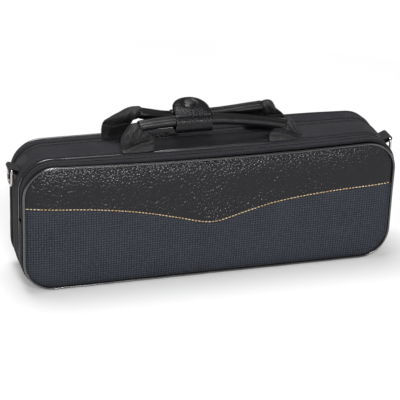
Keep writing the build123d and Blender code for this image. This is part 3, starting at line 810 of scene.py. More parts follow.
@dataclass(frozen=True)
class Outline:
    """The case's rounded outline, seen from the front."""

    length: float = 430.0
    height: float = 150.0
    radius: float = 36.0
    step: float = 4.0
    corner_steps: int = 14

    @property
    def flat(self) -> float:
        """Half the straight run along the base."""
        return self.length / 2 - self.radius

    @property
    def upright(self) -> float:
        """Straight run up each side."""
        return self.height - 2 * self.radius

    @property
    def arc(self) -> float:
        """Run round one corner."""
        return self.radius * pi / 2

    @property
    def half(self) -> float:
        """Run from the middle of the base to the middle of the top."""
        return 2 * self.flat + self.upright + 2 * self.arc

    def sweep(self, section: Sequence[Spot], closed: bool = True) -> Mesh:
        """Carry a section all round the outline.

        Args:
            section: Its corners as inset and Y.
            closed: Whether the section is a closed ring.

        Returns:
            The mesh, closed on itself.
        """
        pen = Pen([(0.0, y, inset) for inset, y in section], closed)
        flat, low, top = self.flat, self.radius, self.height - self.radius
        long, short = round(flat / self.step), round(self.upright / self.step)
        quarter = -pi / 2, self.corner_steps
        pen.line((flat, 0, 0), long).turn((flat, 0, low), *quarter)
        pen.line((0, 0, self.upright), short).turn((flat, 0, top), *quarter)
        pen.line((-2 * flat, 0, 0), 2 * long).turn((-flat, 0, top), *quarter)
        pen.line((0, 0, -self.upright), short).turn((-flat, 0, low), *quarter)
        pen.line((flat, 0, 0), long)
        merge(pen.bm, 0.01)
        return pen.bm

    def spot(self, run: float, inset: float, y: float) -> Matrix:
        """Place on the outline: X along the run, Y across it and Z outwards.

        Args:
            run: Distance from the middle of the base, to the right; negative to the left.
            inset: Distance inside the outline.
            y: Distance along Y.

        Returns:
            The place as a matrix.
        """
        legs = (self.flat, self.arc, self.upright, self.arc, self.flat)
        side, top = self.length / 2, self.height - self.radius
        starts = ((0.0, 0.0), (self.flat, 0.0), (side, self.radius), (side, top), (self.flat, self.height))
        leg, rest = 0, abs(run)
        while leg < 4 and rest > legs[leg]:
            rest -= legs[leg]
            leg += 1
        turned = pi / 2 * (leg // 2)
        x, z = starts[leg]
        if leg in (1, 3):
            x -= self.radius * sin(turned)
            z += self.radius * cos(turned)
            turned += rest / self.radius
            x += (self.radius - inset) * sin(turned)
            z -= (self.radius - inset) * cos(turned)
        else:
            x += rest * cos(turned) - inset * sin(turned)
            z += rest * sin(turned) + inset * cos(turned)
        flip = -1 if run < 0 else 1
        along = Vector((cos(turned), 0, flip * sin(turned)))
        return placed(Vector((flip * x, y, z)), along, Vector((flip * sin(turned), 0, -cos(turned))))

    def run_to(self, height: float, inset: float = 0.0) -> float:
        """Run from the middle of the base up to a height.

        Args:
            height: The height, below the upper corner.
            inset: Distance inside the outline.

        Returns:
            The run, to the right.
        """
        if height >= self.radius:
            return self.flat + self.arc + height - self.radius
        return self.flat + self.radius * acos((self.radius - height) / (self.radius - inset))

    def run_at(self, point: Vector, side: float) -> float:
        """Run of the point on the outline that is nearest to a point.

        Args:
            point: The point.
            side: Which side of the middle it belongs to, by its sign.

        Returns:
            The run, negative on the left.
        """
        x, z = abs(point.x), point.z
        low, high = self.radius, self.height - self.radius
        if x <= self.flat:
            run = x if z < self.height / 2 else self.half - x
        elif z < low:
            run = self.flat + self.radius * atan2(x - self.flat, low - z)
        elif z <= high:
            run = self.flat + self.arc + z - low
        else:
            run = self.flat + self.arc + self.upright + self.radius * atan2(z - high, x - self.flat)
        return run if side >= 0 else -run

    def chart(self, corner: Vector, middle: Vector) -> Spot:
        """Run and Y of a face's corner, for a cloth that goes round the case."""
        return self.run_at(corner, middle.x), corner.y

    def face(self, inset: float, y: float, step: float) -> Mesh:
        """Gridded face of the outline, facing -Y.

        Args:
            inset: How far it lies inside the outline.
            y: Its plane.
            step: Size of its squares.

        Returns:
            The mesh.
        """
        wide, tall = self.length - 2 * inset, self.height - 2 * inset
        bm = bmesh.new()
        bmesh.ops.create_grid(bm, x_segments=round(wide / step), y_segments=round(tall / step), size=0.5)
        place = Matrix.Translation((0, y, self.height / 2)) @ Matrix.Rotation(pi / 2, 4, "X")
        bmesh.ops.transform(bm, matrix=place @ Matrix.Diagonal((wide, tall, 1, 1)), verts=bm.verts)
        self.round_off(bm, inset)
        return bm

    def round_off(self, bm: Mesh, inset: float) -> None:
        """Cut a sheet's four corners to the rounded outline.

        Args:
            bm: The sheet.
            inset: How far inside the outline.
        """
        steps = 12
        for side in (-1, 1):
            for up, height in ((-1, self.radius), (1, self.height - self.radius)):
                centre = Vector((side * self.flat, 0, height))
                for i in range(steps):
                    angle = (i + 0.5) * pi / 2 / steps
                    out = Vector((side * cos(angle), 0, up * sin(angle)))
                    reach = (self.radius - inset) * cos(pi / 4 / steps) ** 0.5
                    keep_side(bm, centre + out * reach, out)

    def face_out(self, bm: Mesh) -> None:
        """Point the faces of a sheet round the case away from its middle.

        Args:
            bm: The sheet.
        """
        for face in bm.faces:
            middle = face.calc_center_median()
            home = Vector((max(-self.flat, min(self.flat, middle.x)), middle.y, self.height / 2))
            if face.normal.dot(middle - home) < 0:
                face.normal_flip()


CASE = Outline()


@dataclass(frozen=True)
class Slump:
    """How the padded case gives: the front of its top sags and its lid bulges at the right."""

    sag: float = 3.5
    zip_front: float = 14.0
    zip_back: float = 26.0
    front: float = -40.0
    back: float = 40.0
    bulge: float = 5.4
    bulge_x: float = 118.0
    bulge_reach: float = 100.0
    crown: float = 0.8
    low_z: float = 72.0
    high_z: float = 146.0

    def lift(self, point: Vector) -> float:
        """Height change of the very top.

        Args:
            point: The place along and across the case.

        Returns:
            How far it rises.
        """
        if point.y < self.zip_front:
            middle = max(0.0, 1 - (point.x / CASE.flat) ** 2)
            return -self.sag * middle * (self.zip_front - point.y) / (self.zip_front - self.front)
        if point.y > self.zip_back:
            full = self.crown + self.bulge * exp(-(((point.x - self.bulge_x) / self.bulge_reach) ** 2))
            return full * min(1.0, (point.y - self.zip_back) / (self.back - self.zip_back))
        return 0.0

    def __call__(self, point: Vector) -> Vector:
        """The point moved with the cloth."""
        return point + Vector((0, 0, self.lift(point) * share(point.z, self.low_z, self.high_z) ** 2))


SLUMP = Slump()


class Layer(Enum):
    """Planes across Y where the case's layers meet."""

    POCKET_FRONT = -35.5
    POCKET_ZIP = -27.55
    SEAM = -18.0
    ZIP = 20.0


# Studio ---------------------------------------------------------------------------------


@dataclass(frozen=True)
class Studio:
    """Plain pale floor, soft light and the camera; these sizes are in metres and watts."""

    azimuth: float = 17.07
    elevation: float = 25.84
    roll: float = 2.31
    focal_px: float = 1682.2
    frame_px: float = 400.0
    distance: float = 1.9048
    target: tuple[float, float, float] = (-0.00382, 0.0, 0.07429)
    floor_z: float = -0.0004
    floor_glow: float = 0.24
    air: float = 0.2
    boxes: tuple[tuple[str, tuple[float, float, float], float, float], ...] = (
        ("top box", (-0.3, 0.5, 2.8), 1.5, 68.0),
        ("front box", (-0.3, -2.0, 1.7), 0.5, 23.0),
        ("low box", (0.2, -2.65, 0.42), 0.22, 21.0),
        ("right fill", (1.9, -2.3, 1.0), 1.2, 9.0),
    )

    def camera(self) -> None:
        """Camera left of the front, looking down on the case."""
        turn, lift = radians(self.azimuth), radians(self.elevation)
        back = Vector((-sin(turn) * cos(lift), -cos(turn) * cos(lift), sin(lift)))
        place = placed(Vector(self.target) + back * self.distance, Vector((cos(turn), -sin(turn), 0)), back)
        data = bpy.data.cameras.new("camera")
        data.sensor_width = 36.0
        data.lens = data.sensor_width * self.focal_px / self.frame_px
        data.clip_end = 20.0
        roll = Matrix.Rotation(radians(self.roll), 4, "Z")
        bpy.context.scene.camera = hung("camera", data, place @ roll)

    def floor(self) -> None:
        """White sweep that keeps the case's shadow."""
        ink = Inks("white paper sweep")
        path = ink.add("LightPath").outputs
        seen = ink.math("MAXIMUM", path["Is Camera Ray"], path["Is Glossy Ray"])
        seen = ink.math("MAXIMUM", seen, path["Is Transmission Ray"])
        away = ink.add("VectorMath", {0: ink.space}, operation="LENGTH").outputs["Value"]
        glow = ink.math("ADD", self.floor_glow, ink.ramp(away, 0.7, 2.6))
        lift = ink.add("Emission", {"Strength": ink.math("MULTIPLY", seen, glow)})
        paper = ink.add("BsdfDiffuse", {"Color": linear("d8d8d8")})
        both = ink.add("AddShader", {0: paper.outputs[0], 1: lift.outputs[0]})
        ink.tree.links.new(both.outputs[0], ink.out.inputs["Surface"])
        bm = bmesh.new()
        bmesh.ops.create_grid(bm, x_segments=8, y_segments=8, size=6.0)
        obj = hung("floor", baked("floor", bm), Matrix.Translation((0, 0, self.floor_z)))
        obj.data.materials.append(ink.material)

    def light(self) -> None:
        """Pale surroundings and four soft boxes: above, high and low in front, and right."""
        world = bpy.data.worlds.new("studio")
        bpy.context.scene.world = world
        world.use_nodes = True
        tree = world.node_tree
        path = tree.nodes.new("ShaderNodeLightPath")
        mix = tree.nodes.new("ShaderNodeMix")
        mix.data_type = "FLOAT"
        mix.inputs["A"].default_value = self.air
        mix.inputs["B"].default_value = 1.0
        ground = tree.nodes["Background"]
        ground.inputs["Color"].default_value = (1, 1, 1, 1)
        tree.links.new(path.outputs["Is Camera Ray"], mix.inputs["Factor"])
        tree.links.new(mix.outputs["Result"], ground.inputs["Strength"])
        for name, place, size, watts in self.boxes:
            data = bpy.data.lights.new(name, "AREA")
            data.size = size
            data.energy = watts
            way = Vector(place) - Vector((0, 0, 0.08))
            hung(name, data, Matrix.Translation(place) @ way.to_track_quat("Z", "Y").to_matrix().to_4x4())

    def build(self) -> None:
        """Camera first, then floor and lights."""
        self.camera()
        self.floor()
        self.light()
        bpy.context.scene.view_settings.view_transform = "Standard"


# Sub-assemblies -------------------------------------------------------------------------


class Side(Enum):
    """Which half of a zip."""

    FRONT = -1
    BACK = 1


@dataclass(frozen=True)
class Zip:
    """A zip round the case: two tapes, each with a row of coil at the seam."""

    name: str
    seam_y: float
    low_z: float
    width: float = 11.2
    inset: float = 1.5
    wall: float = 0.5
    edge: float = 0.7
    coil_near: float = 0.35
    coil_far: float = 3.1
    nose: Spot = (0.32, 0.4)
    taper: tuple[Spot, ...] = ((0.18, 1.75), (0.62, 1.12), (0.2, 0.8))
    pitch: float = 2.0
    clear: float = 1.0
    narrowest_sheet: float = 10.0

    @property
    def reach(self) -> float:
        """Run from the middle of the top to either lower end."""
        return CASE.half - CASE.run_to(self.low_z, self.inset)

    def tape(self, side: Side) -> Piece:
        """One tape, from the seam to where it is sewn under the band.

        Args:
            side: Which side of the seam.

        Returns:
            The tape, a thin sheet.
        """
        columns = [self.seam_y + side.value * (self.edge + self.width * i / 4) for i in range(5)]
        bm = CASE.sweep([(self.inset, y) for y in columns], closed=False)
        keep_side(bm, (0, 0, self.low_z), (0, 0, -1))
        lay_uv(bm, CASE.chart)
        move_points(bm, SLUMP)
        CASE.face_out(bm)
        obj = piece(f"{self.name}_tape_{side.name.lower()}", bm, Finish.TAPE)
        thicken(obj, self.wall)
        if self.width >= self.narrowest_sheet:
            length = 2 * self.reach - pi * self.inset
        return obj

    def coil(self, side: Side) -> Piece:
        """Row of coil beside the seam; the two rows lie half a pitch apart.

        Args:
            side: Which side of the seam.

        Returns:
            The row.
        """
        near, far = side.value * self.coil_near, side.value * self.coil_far
        tooth = Pen([(p.x, near, p.y) for p in ring(*self.nose, 6)], True)
        for part, grow in self.taper:
            tooth.line((0, (far - near) * part, 0)).grow((grow, 1, grow))
        close_up(tooth.bm)
        half_turn = Matrix.Diagonal((-1, -1, 1, 1))
        count = int((self.reach - self.clear) / self.pitch)
        places = []
        for i in range(-count, count):
            run = CASE.half + (i + 0.5 + 0.25 * side.value) * self.pitch
            run -= 2 * CASE.half if run > CASE.half else 0.0
            places.append(CASE.spot(run, self.inset, self.seam_y) @ half_turn)
        bm = scattered(tooth.bm, places)
        move_points(bm, SLUMP)
        return piece(f"{self.name}_coil_{side.name.lower()}", bm, Finish.COIL)

    def half(self, side: Side, node: str, by: str | Fold) -> None:
        """Tape and coil on one side of the seam.

        Args:
            side: Which side.
            node: How the names of the two solids they stand for begin.
            by: What they move with.
        """
        carry(self.tape(side), by, f"{node}_tape")
        carry(self.coil(side), by, f"{node}_coil")


MAIN_ZIP = Zip("main", Layer.ZIP.value, 10.0)


@dataclass(frozen=True)
class Band:
    """A padded band of the case, with its rows of stitches."""

    y_from: float
    y_to: float
    wall: float
    crown: float
    seed: float

    def section(self) -> list[Spot]:
        """Crowned face, rolled edges and a flat inside.

        Returns:
            Closed ring of inset and Y.
        """
        width, floor = self.y_to - self.y_from, self.wall - 0.15
        curl = min(1.3, width * 0.45, self.wall * 0.5)
        near, far = self.y_from + curl, self.y_to - curl
        turns = [pi / 2 * i / 3 for i in range(4)]
        count = max(2, round(width / 3.0))
        parts = [i / count for i in range(1, count)]
        return [
            *((curl - curl * sin(turn), near - curl * cos(turn)) for turn in turns),
            *((-self.crown * sin(pi * part) ** 0.8, near + (far - near) * part) for part in parts),
            *((curl - curl * cos(turn), far + curl * sin(turn)) for turn in turns),
            *((floor, y) for y in (self.y_to - 0.1, (self.y_from + self.y_to) / 2, self.y_from + 0.1)),
        ]

    def cover(self, name: str, by: str | Fold, node: str, cut: Spot | None = None) -> None:
        """The band as a foam-filled piece.

        Args:
            name: Name of the piece.
            by: What it moves with.
            node: The solid it stands for.
            cut: Height at which it is cut, and 1 to drop what is above or -1 what is below.
        """
        bm = CASE.sweep(self.section())
        lay_uv(bm, CASE.chart)
        move_points(bm, SLUMP, puckered(0.35, 15.0, self.seed))
        if cut:
            keep_side(bm, (0, 0, cut[0]), (0, 0, cut[1]))
        obj = piece(name, bm, Finish.BAND)
        soften(obj)
        carry(obj, by, node)

    def stitches(self, name: str, rows: Sequence[float], end: float, by: str) -> None:
        """Rows of stitches on the band, the same distance to both sides of the base's middle.

        Args:
            name: Name of the piece.
            rows: Y of each row.
            end: Run at which they end.
            by: The body they move with.
        """
        pitch, inset = 3.6, -0.05 - self.crown * 0.35
        runs = [(i + 0.5) * pitch - end for i in range(int(2 * end / pitch))]
        bm = scattered(stitch(pitch * 0.78, 0.7), (CASE.spot(run, inset, y) for y in rows for run in runs))
        move_points(bm, SLUMP)
        carry(piece(name, bm, Finish.DARK_THREAD), by)


@dataclass(frozen=True)
class Cord:
    """A cord all round the case."""

    name: str
    inset: float
    y: float
    radii: Spot
    count: int
    pucker: tuple[float, float, float]
    finish: Finish = Finish.PIPING

    def build(self, by: str | Fold, *nodes: str, shape: Sequence[Mover] = ()) -> None:
        """The cord, with a UV map only where its finish is woven.

        Args:
            by: What it moves with.
            nodes: The solids it stands for.
            shape: Movers that shape it before the case slumps.
        """
        bm = CASE.sweep([(self.inset + p.x, self.y + p.y) for p in ring(*self.radii, self.count)])
        if self.finish is Finish.BAND:
            lay_uv(bm, CASE.chart)
        move_points(bm, *shape, SLUMP, puckered(*self.pucker))
        carry(piece(self.name, bm, self.finish), by, *nodes)


def foam_copy(name: str, node: str, voxel: float, rounds: int, by: str) -> None:
    """Plush-covered copy of a solid, remeshed and smoothed so that its edges are rounded over.

    Args:
        name: Name of the piece.
        node: The solid.
        voxel: Size of its faces.
        rounds: How often it is smoothed.
        by: The body it moves with.
    """
    bm = bmesh.new()
    bm.from_mesh(FRAME["nodes"][node].data)
    bmesh.ops.scale(bm, vec=(1 / MM, 1 / MM, 1 / MM), verts=bm.verts)
    bmesh.ops.remove_doubles(bm, verts=bm.verts, dist=0.005)
    obj = piece(name, bm, Finish.PLUSH)
    modify(obj, "REMESH", mode="VOXEL", voxel_size=voxel * MM, use_smooth_shade=True)
    modify(obj, "SMOOTH", iterations=rounds, factor=0.5)
    carry(obj, by, node)


def upholster(name: str, bm: Mesh, by: str | Fold, *nodes: str) -> None:
    """Make a sheet a panel of dobby nylon over foam.

    Args:
        name: Name of the piece.
        bm: The sheet.
        by: What it moves with.
        nodes: The solids it stands for.
    """
    obj = piece(name, bm, Finish.PANEL)
    thicken(obj, 2.4)
    carry(obj, by, *nodes)


@dataclass(frozen=True)
class MainShell:
    """Middle compartment: band, welt, piped seam, zip half, board, tray and fold of the lid."""

    pull: float = 1.7
    pull_forwards: float = 0.8
    pull_x: float = 3.0
    pull_reach: float = 66.0
    sunk: float = 0.5
    fold_top: float = 9.7
    fold_inset: float = 0.15
    fold_front: float = 14.2
    fold_step: float = 0.8
    fold_wall: float = 1.3

    def proud(self, point: Vector) -> Vector:
        """Pull the top of the seam up and forwards in its middle, and let its ends sink.

        Args:
            point: A point of its piping.

        Returns:
            The point moved.
        """
        if point.z <= CASE.height / 2:
            return point
        near = exp(-((abs(point.x - self.pull_x) / self.pull_reach) ** 8))
        return point + Vector(
            (0, -self.pull_forwards * self.pull * near, self.pull * near - self.sunk * (1 - near))
        )

    def fold(self) -> None:
        """Cloth along the base that the lid folds on, in one piece."""
        columns = [self.fold_front + self.fold_step * i for i in range(15)]
        bm = CASE.sweep([(self.fold_inset, y) for y in columns], closed=False)
        keep_side(bm, (0, 0, self.fold_top), (0, 0, 1))
        lay_uv(bm, CASE.chart)
        CASE.face_out(bm)
        obj = piece("lid_fold", bm, Finish.BAND)
        thicken(obj, self.fold_wall)
        carry(obj, LID_FOLD, "hinge_strip", "lid_hinge_strip")

    def build(self) -> None:
        """All of the main shell."""
        band = Band(-16.4, 14.5, 4.0, 0.9, 3.1)
        band.cover("main_band", "case_body", "body_band")
        band.stitches("main_band_stitches", (-13.6, 11.8), CASE.half, "case_body")
        Cord("main_band_welt", 0.05, -1.0, (1.1, 1.3), 10, (0.2, 30.0, 2.0), Finish.BAND).build("case_body")
        cord = Cord("seam_cord", 1.8, Layer.SEAM.value, (1.8, 1.8), 12, (0.15, 22.0, 5.0))
        cord.build("case_body", "seam_piping", shape=[self.proud])
        MAIN_ZIP.half(Side.FRONT, "main_zip", "case_body")
        self.fold()
        foam_copy("tray_cover", "instrument_tray", 1.7, 4, "case_body")
        Finish.BOARD.wear(FRAME["nodes"]["divider_board"])


WAVE = (
    (-215.0, 101.4), (-149.5, 95.7), (-110.0, 90.8), (-76.0, 84.2), (-41.0, 75.4),
    (-19.3, 69.6), (-4.0, 67.9), (12.0, 69.8), (39.4, 76.2), (67.3, 82.8),
    (102.3, 87.6), (149.5, 91.2), (215.0, 93.4),
)


def wave(x: float) -> float:
    """Height of the yoke's lower edge, a smooth curve through its marks.

    Args:
        x: The place along X.

    Returns:
        The height.
    """
    at = bracket(WAVE, x)
    (x1, z1), (x2, z2) = WAVE[at : at + 2]
    before, after = WAVE[max(0, at - 1)], WAVE[min(len(WAVE) - 1, at + 2)]
    slope_1 = (z2 - before[1]) / (x2 - before[0])
    slope_2 = (after[1] - z1) / (after[0] - x1)
    t = share(x, x1, x2)
    rest = (2 * t**3 - 3 * t**2 + 1) * z1 + (3 * t**2 - 2 * t**3) * z2
    return rest + (x2 - x1) * ((t**3 - 2 * t**2 + t) * slope_1 + (t**3 - t**2) * slope_2)


@dataclass(frozen=True)
class FrontPocket:
    """Front pocket: band, zip, crowned panel, wavy yoke, piping, and the flap that folds."""

    inset: float = 3.4
    edge_y: float = -37.5
    swell: float = 3.9
    swell_reach: float = 24.0
    belly: float = 3.4
    belly_at: Spot = (4.0, 64.0)
    belly_reach: float = 26.0
    ripple: float = 0.9
    ripple_size: Spot = (45.0, 30.0)
    ripple_seed: float = 7.0
    yoke_wall: float = 1.0
    yoke_low: float = 66.0
    fold_z: float = 83.0
    sag: float = 3.0
    sag_end: float = 190.0
    sag_low: float = 90.0
    sag_high: float = 120.0
    stitch_pitch: float = 3.9
    stitch_size: Spot = (3.3, 1.15)
    stitch_above: float = 1.5
    stitch_end: float = 2.5
    zip_gap: float = 5.3
    band_back: float = -19.6

    def swollen(self, lift: float, point: Vector) -> Vector:
        """Crown a flat sheet over its foam.

        Args:
            lift: How far the sheet stands in front of the panel.
            point: A point of the sheet.

        Returns:
            The point moved.
        """
        middle = CASE.height / 2
        corner_x = max(0.0, abs(point.x) - CASE.flat)
        corner_z = max(0.0, abs(point.z - middle) - middle + CASE.radius)
        edge = min(CASE.length / 2 - abs(point.x), middle - abs(point.z - middle)) - self.inset
        if corner_x and corner_z:
            edge = CASE.radius - self.inset - hypot(corner_x, corner_z)
        swell = self.swell * (1 - exp(-max(0.0, edge) / self.swell_reach * 2))
        away = hypot(point.x - self.belly_at[0], point.z - self.belly_at[1])
        belly = self.belly * exp(-((away / self.belly_reach) ** 2))
        spot = Vector((point.x / self.ripple_size[0], point.z / self.ripple_size[1], self.ripple_seed))
        ripple = noise.noise(spot) * self.ripple * swell / self.swell
        return Vector((point.x, self.edge_y - lift - swell - belly - ripple, point.z))

    def settled(self, point: Vector) -> Vector:
        """Lower a point where the pocket's top has sunk, more towards the right.

        Args:
            point: The point.

        Returns:
            The point moved.
        """
        along, up = share(point.x, -self.sag_end, self.sag_end), share(point.z, self.sag_low, self.sag_high)
        return point - Vector((0, 0, self.sag * along * up))

    def panel(self) -> None:
        """Dobby nylon over foam, the whole front."""
        bm = CASE.face(self.inset, self.edge_y, 3.5)
        move_points(bm, partial(self.swollen, 0.0), self.settled, SLUMP)
        upholster("front_cover", bm, FLAP_FOLD, "front_panel_lower", "front_panel_upper")

    def yoke(self) -> None:
        """Pebbled leatherette over the top of the panel, its lower edge a wave."""
        width, top = CASE.length - 2 * self.inset, CASE.height - self.inset
        bm = bmesh.new()
        bmesh.ops.create_grid(bm, x_segments=120, y_segments=24, size=0.5)
        for vert in bm.verts:
            x, low = vert.co.x * width, wave(vert.co.x * width)
            vert.co = (x, self.edge_y, low + (top - low) * (vert.co.y + 0.5))
        CASE.round_off(bm, self.inset)
        bmesh.ops.recalc_face_normals(bm, faces=bm.faces)
        if sum(face.normal.y for face in bm.faces) > 0:
            bmesh.ops.reverse_faces(bm, faces=bm.faces)
        area = sum(face.calc_area() for face in bm.faces)
        move_points(bm, partial(self.swollen, self.yoke_wall + 0.15), self.settled, SLUMP)
        obj = piece("yoke_cover", bm, Finish.YOKE)
        thicken(obj, self.yoke_wall)
        ease(obj, 0.35)
        carry(obj, FLAP_FOLD, "yoke_lower", "yoke_upper")

    def wave_stitches(self) -> None:
        """Tan top-stitching just above the yoke's edge."""
        places = []
        end = CASE.length / 2 - self.inset - self.stitch_end
        x = -end
        while x < end:
            along = Vector((1, 0, (wave(x + 1) - wave(x - 1)) / 2)).normalized()
            spot = SLUMP(self.swollen(self.yoke_wall + 0.25, Vector((x, 0, wave(x) + self.stitch_above))))
            places.append(placed(spot, along, Vector((0, -1, 0))))
            x += self.stitch_pitch * along.x
        bm = scattered(stitch(*self.stitch_size), places)
        carry(piece("yoke_stitches", bm, Finish.CONTRAST_THREAD), FLAP_FOLD)

    def bands(self) -> None:
        """Whole band under the fold, and the strips each side of the zip over it."""
        front, back, fold = Layer.POCKET_FRONT.value, self.band_back, self.fold_z
        zip_y = Layer.POCKET_ZIP.value
        low = Band(front, back, 3.0, 0.8, 11.0)
        low.cover("pocket_band_low", "case_body", "pocket_band", (fold, 1))
        low.stitches("pocket_stitches_low", (front + 2.6, back - 2.4), CASE.run_to(fold), "case_body")
        strip = Band(zip_y + self.zip_gap, back, 3.0, 0.1, 11.0)
        strip.cover("pocket_band_back", "case_body", "pocket_band", (fold, -1))
        strip = Band(front, zip_y - self.zip_gap, 4.4, 0.1, 11.0)
        strip.cover("flap_band_cover", FLAP_FOLD, "flap_band", (fold, -1))

    def build(self) -> None:
        """All of the pocket."""
        self.panel()
        self.yoke()
        self.wave_stitches()
        cord = Cord("front_edge_cord", 2.3, -39.7, (1.3, 1.3), 14, (0.2, 30.0, 9.0))
        cord.build(FLAP_FOLD, "front_piping_lower", "front_piping_upper", shape=[self.settled])
        self.bands()
        pocket_zip = Zip("pocket", Layer.POCKET_ZIP.value, self.fold_z + 0.3, 7.2)
        pocket_zip.half(Side.BACK, "pocket_zip", "case_body")
        pocket_zip.half(Side.FRONT, "flap_zip", FLAP_FOLD)


class Lid:
    """Back shell: band, zip half, back panel with its piping, and plush pad."""

    def panel(self) -> None:
        """Back panel over foam, crowned as the front is but without its sag."""
        bm = CASE.face(5.0, 0.0, 3.5)
        move_points(bm, partial(FrontPocket().swollen, 0.0))
        bmesh.ops.scale(bm, vec=(1, -1, 1), verts=bm.verts)
        move_points(bm, SLUMP)
        bmesh.ops.reverse_faces(bm, faces=bm.faces)
        upholster("back_cover", bm, "lid", "back_panel")

    def build(self) -> None:
        """All of the lid."""
        band = Band(25.5, 35.5, 4.0, 0.8, 17.0)
        band.cover("lid_band_cover", "lid", "lid_band")
        band.stitches("lid_band_stitches", (28.1,), CASE.half, "lid")
        MAIN_ZIP.half(Side.BACK, "lid_zip", "lid")
        self.panel()
        Cord("back_edge_cord", 3.0, 38.0, (2.0, 2.0), 14, (0.2, 30.0, 13.0)).build("lid", "back_piping")
        foam_copy("lid_pad_cover", "lid_pad", 2.2, 6, "lid")


@dataclass(frozen=True)
class StrapAnchor:
    """Webbing loop that holds a D-ring on an upper corner of the case."""

    side: int
    node: str
    width: float = 18.6
    y: float = 4.0
    angle: float = 25.0
    patch: float = 30.0
    hem: float = 10.0
    proud: float = 0.75
    reach: float = 9.0
    loop: float = 2.5

    def build(self) -> None:
        """Webbing from the patch on the band, round the ring's bar and back."""
        radius, tilt = CASE.radius + self.proud, radians(self.angle)
        centre = Vector((CASE.flat, 0, CASE.height - CASE.radius))
        bar = centre + ray(tilt) * (CASE.radius + self.reach)
        lean = self.loop / radius
        start = centre + ray(tilt + radians(self.patch)) * radius
        pen = Pen([(start.x, self.y - self.width / 2, start.z)])
        pen.turn(centre, radians(self.patch) - lean, 12).reach(bar + ray(tilt + pi / 2) * self.loop, 3)
        pen.turn(bar, pi, 10).reach(centre + ray(tilt - lean) * radius, 3)
        pen.turn(centre, radians(self.hem), 4)
        bm = pen.bm
        pen.last = [*bm.verts, *bm.edges]
        pen.line((0, self.width, 0), 6)
        lay_uv(bm, lambda corner, _: ((corner - centre).length * 0.4 + corner.z, corner.y))
        bmesh.ops.scale(bm, vec=(self.side, 1, 1), verts=bm.verts)
        bmesh.ops.recalc_face_normals(bm, faces=bm.faces)
        obj = piece(f"{self.node}_webbing", bm, Finish.WEBBING)
        thicken(obj, 1.1, 0.0)
        ease(obj, 0.3)
        carry(obj, "case_body", self.node)


@dataclass(frozen=True)
class Grip:
    """Round padded grip with a sewn seam along its upper front."""

    end: str
    y: float
    radius: float = 6.4
    seam_angle: float = 52.0
    groove: float = 1.5
    groove_reach: float = 0.15
    welt: float = 0.5
    welt_at: float = -0.4
    welt_reach: float = 0.2
    caps: tuple[Spot, Spot] = ((1.6, 1.6), (2.4, 0.8))
    count: int = 28

    def section(self) -> list[Spot]:
        """Section as Y and height: round, with a welt and a groove at the seam.

        Returns:
            Its corners.
        """
        spots = []
        for i in range(self.count):
            turned = 2 * pi * i / self.count
            off = (turned - radians(180 - self.seam_angle) + pi) % (2 * pi) - pi
            groove = self.groove * exp(-((off / self.groove_reach) ** 2))
            welt = self.welt * exp(-(((off - self.welt_at) / self.welt_reach) ** 2))
            radius = self.radius - groove + welt
            spots.append((radius * cos(turned), radius * sin(turned)))
        return spots

    def close(self, pen: Pen) -> None:
        """Round a drawn grip's ends and dress it.

        Args:
            pen: The pen that drew it.
        """
        ends = close_up(pen.bm)
        for inset, bulge in self.caps:
            bmesh.ops.inset_region(pen.bm, faces=ends, thickness=inset, depth=bulge)
        move_points(pen.bm, puckered(0.3, 16.0, self.y))
        obj = piece(f"{self.end}_grip_cover", pen.bm, Finish.GRIP)
        soften(obj)
        carry(obj, f"{self.end}_handle", f"{self.end}_grip")


def arc_through(first: Spot, middle: Spot, last: Spot) -> tuple[Vector, float]:
    """Circle through three spots, each an X and a Z.

    Args:
        first: One spot.
        middle: The next.
        last: The third.

    Returns:
        Its centre and radius.
    """
    (ax, az), (bx, bz), (cx, cz) = first, middle, last
    d = 2 * (ax * (bz - cz) + bx * (cz - az) + cx * (az - bz))
    a2, b2, c2 = ax * ax + az * az, bx * bx + bz * bz, cx * cx + cz * cz
    x = (a2 * (bz - cz) + b2 * (cz - az) + c2 * (az - bz)) / d
    z = (a2 * (cx - bx) + b2 * (ax - cx) + c2 * (bx - ax)) / d
    return Vector((x, 0, z)), hypot(ax - x, az - z)


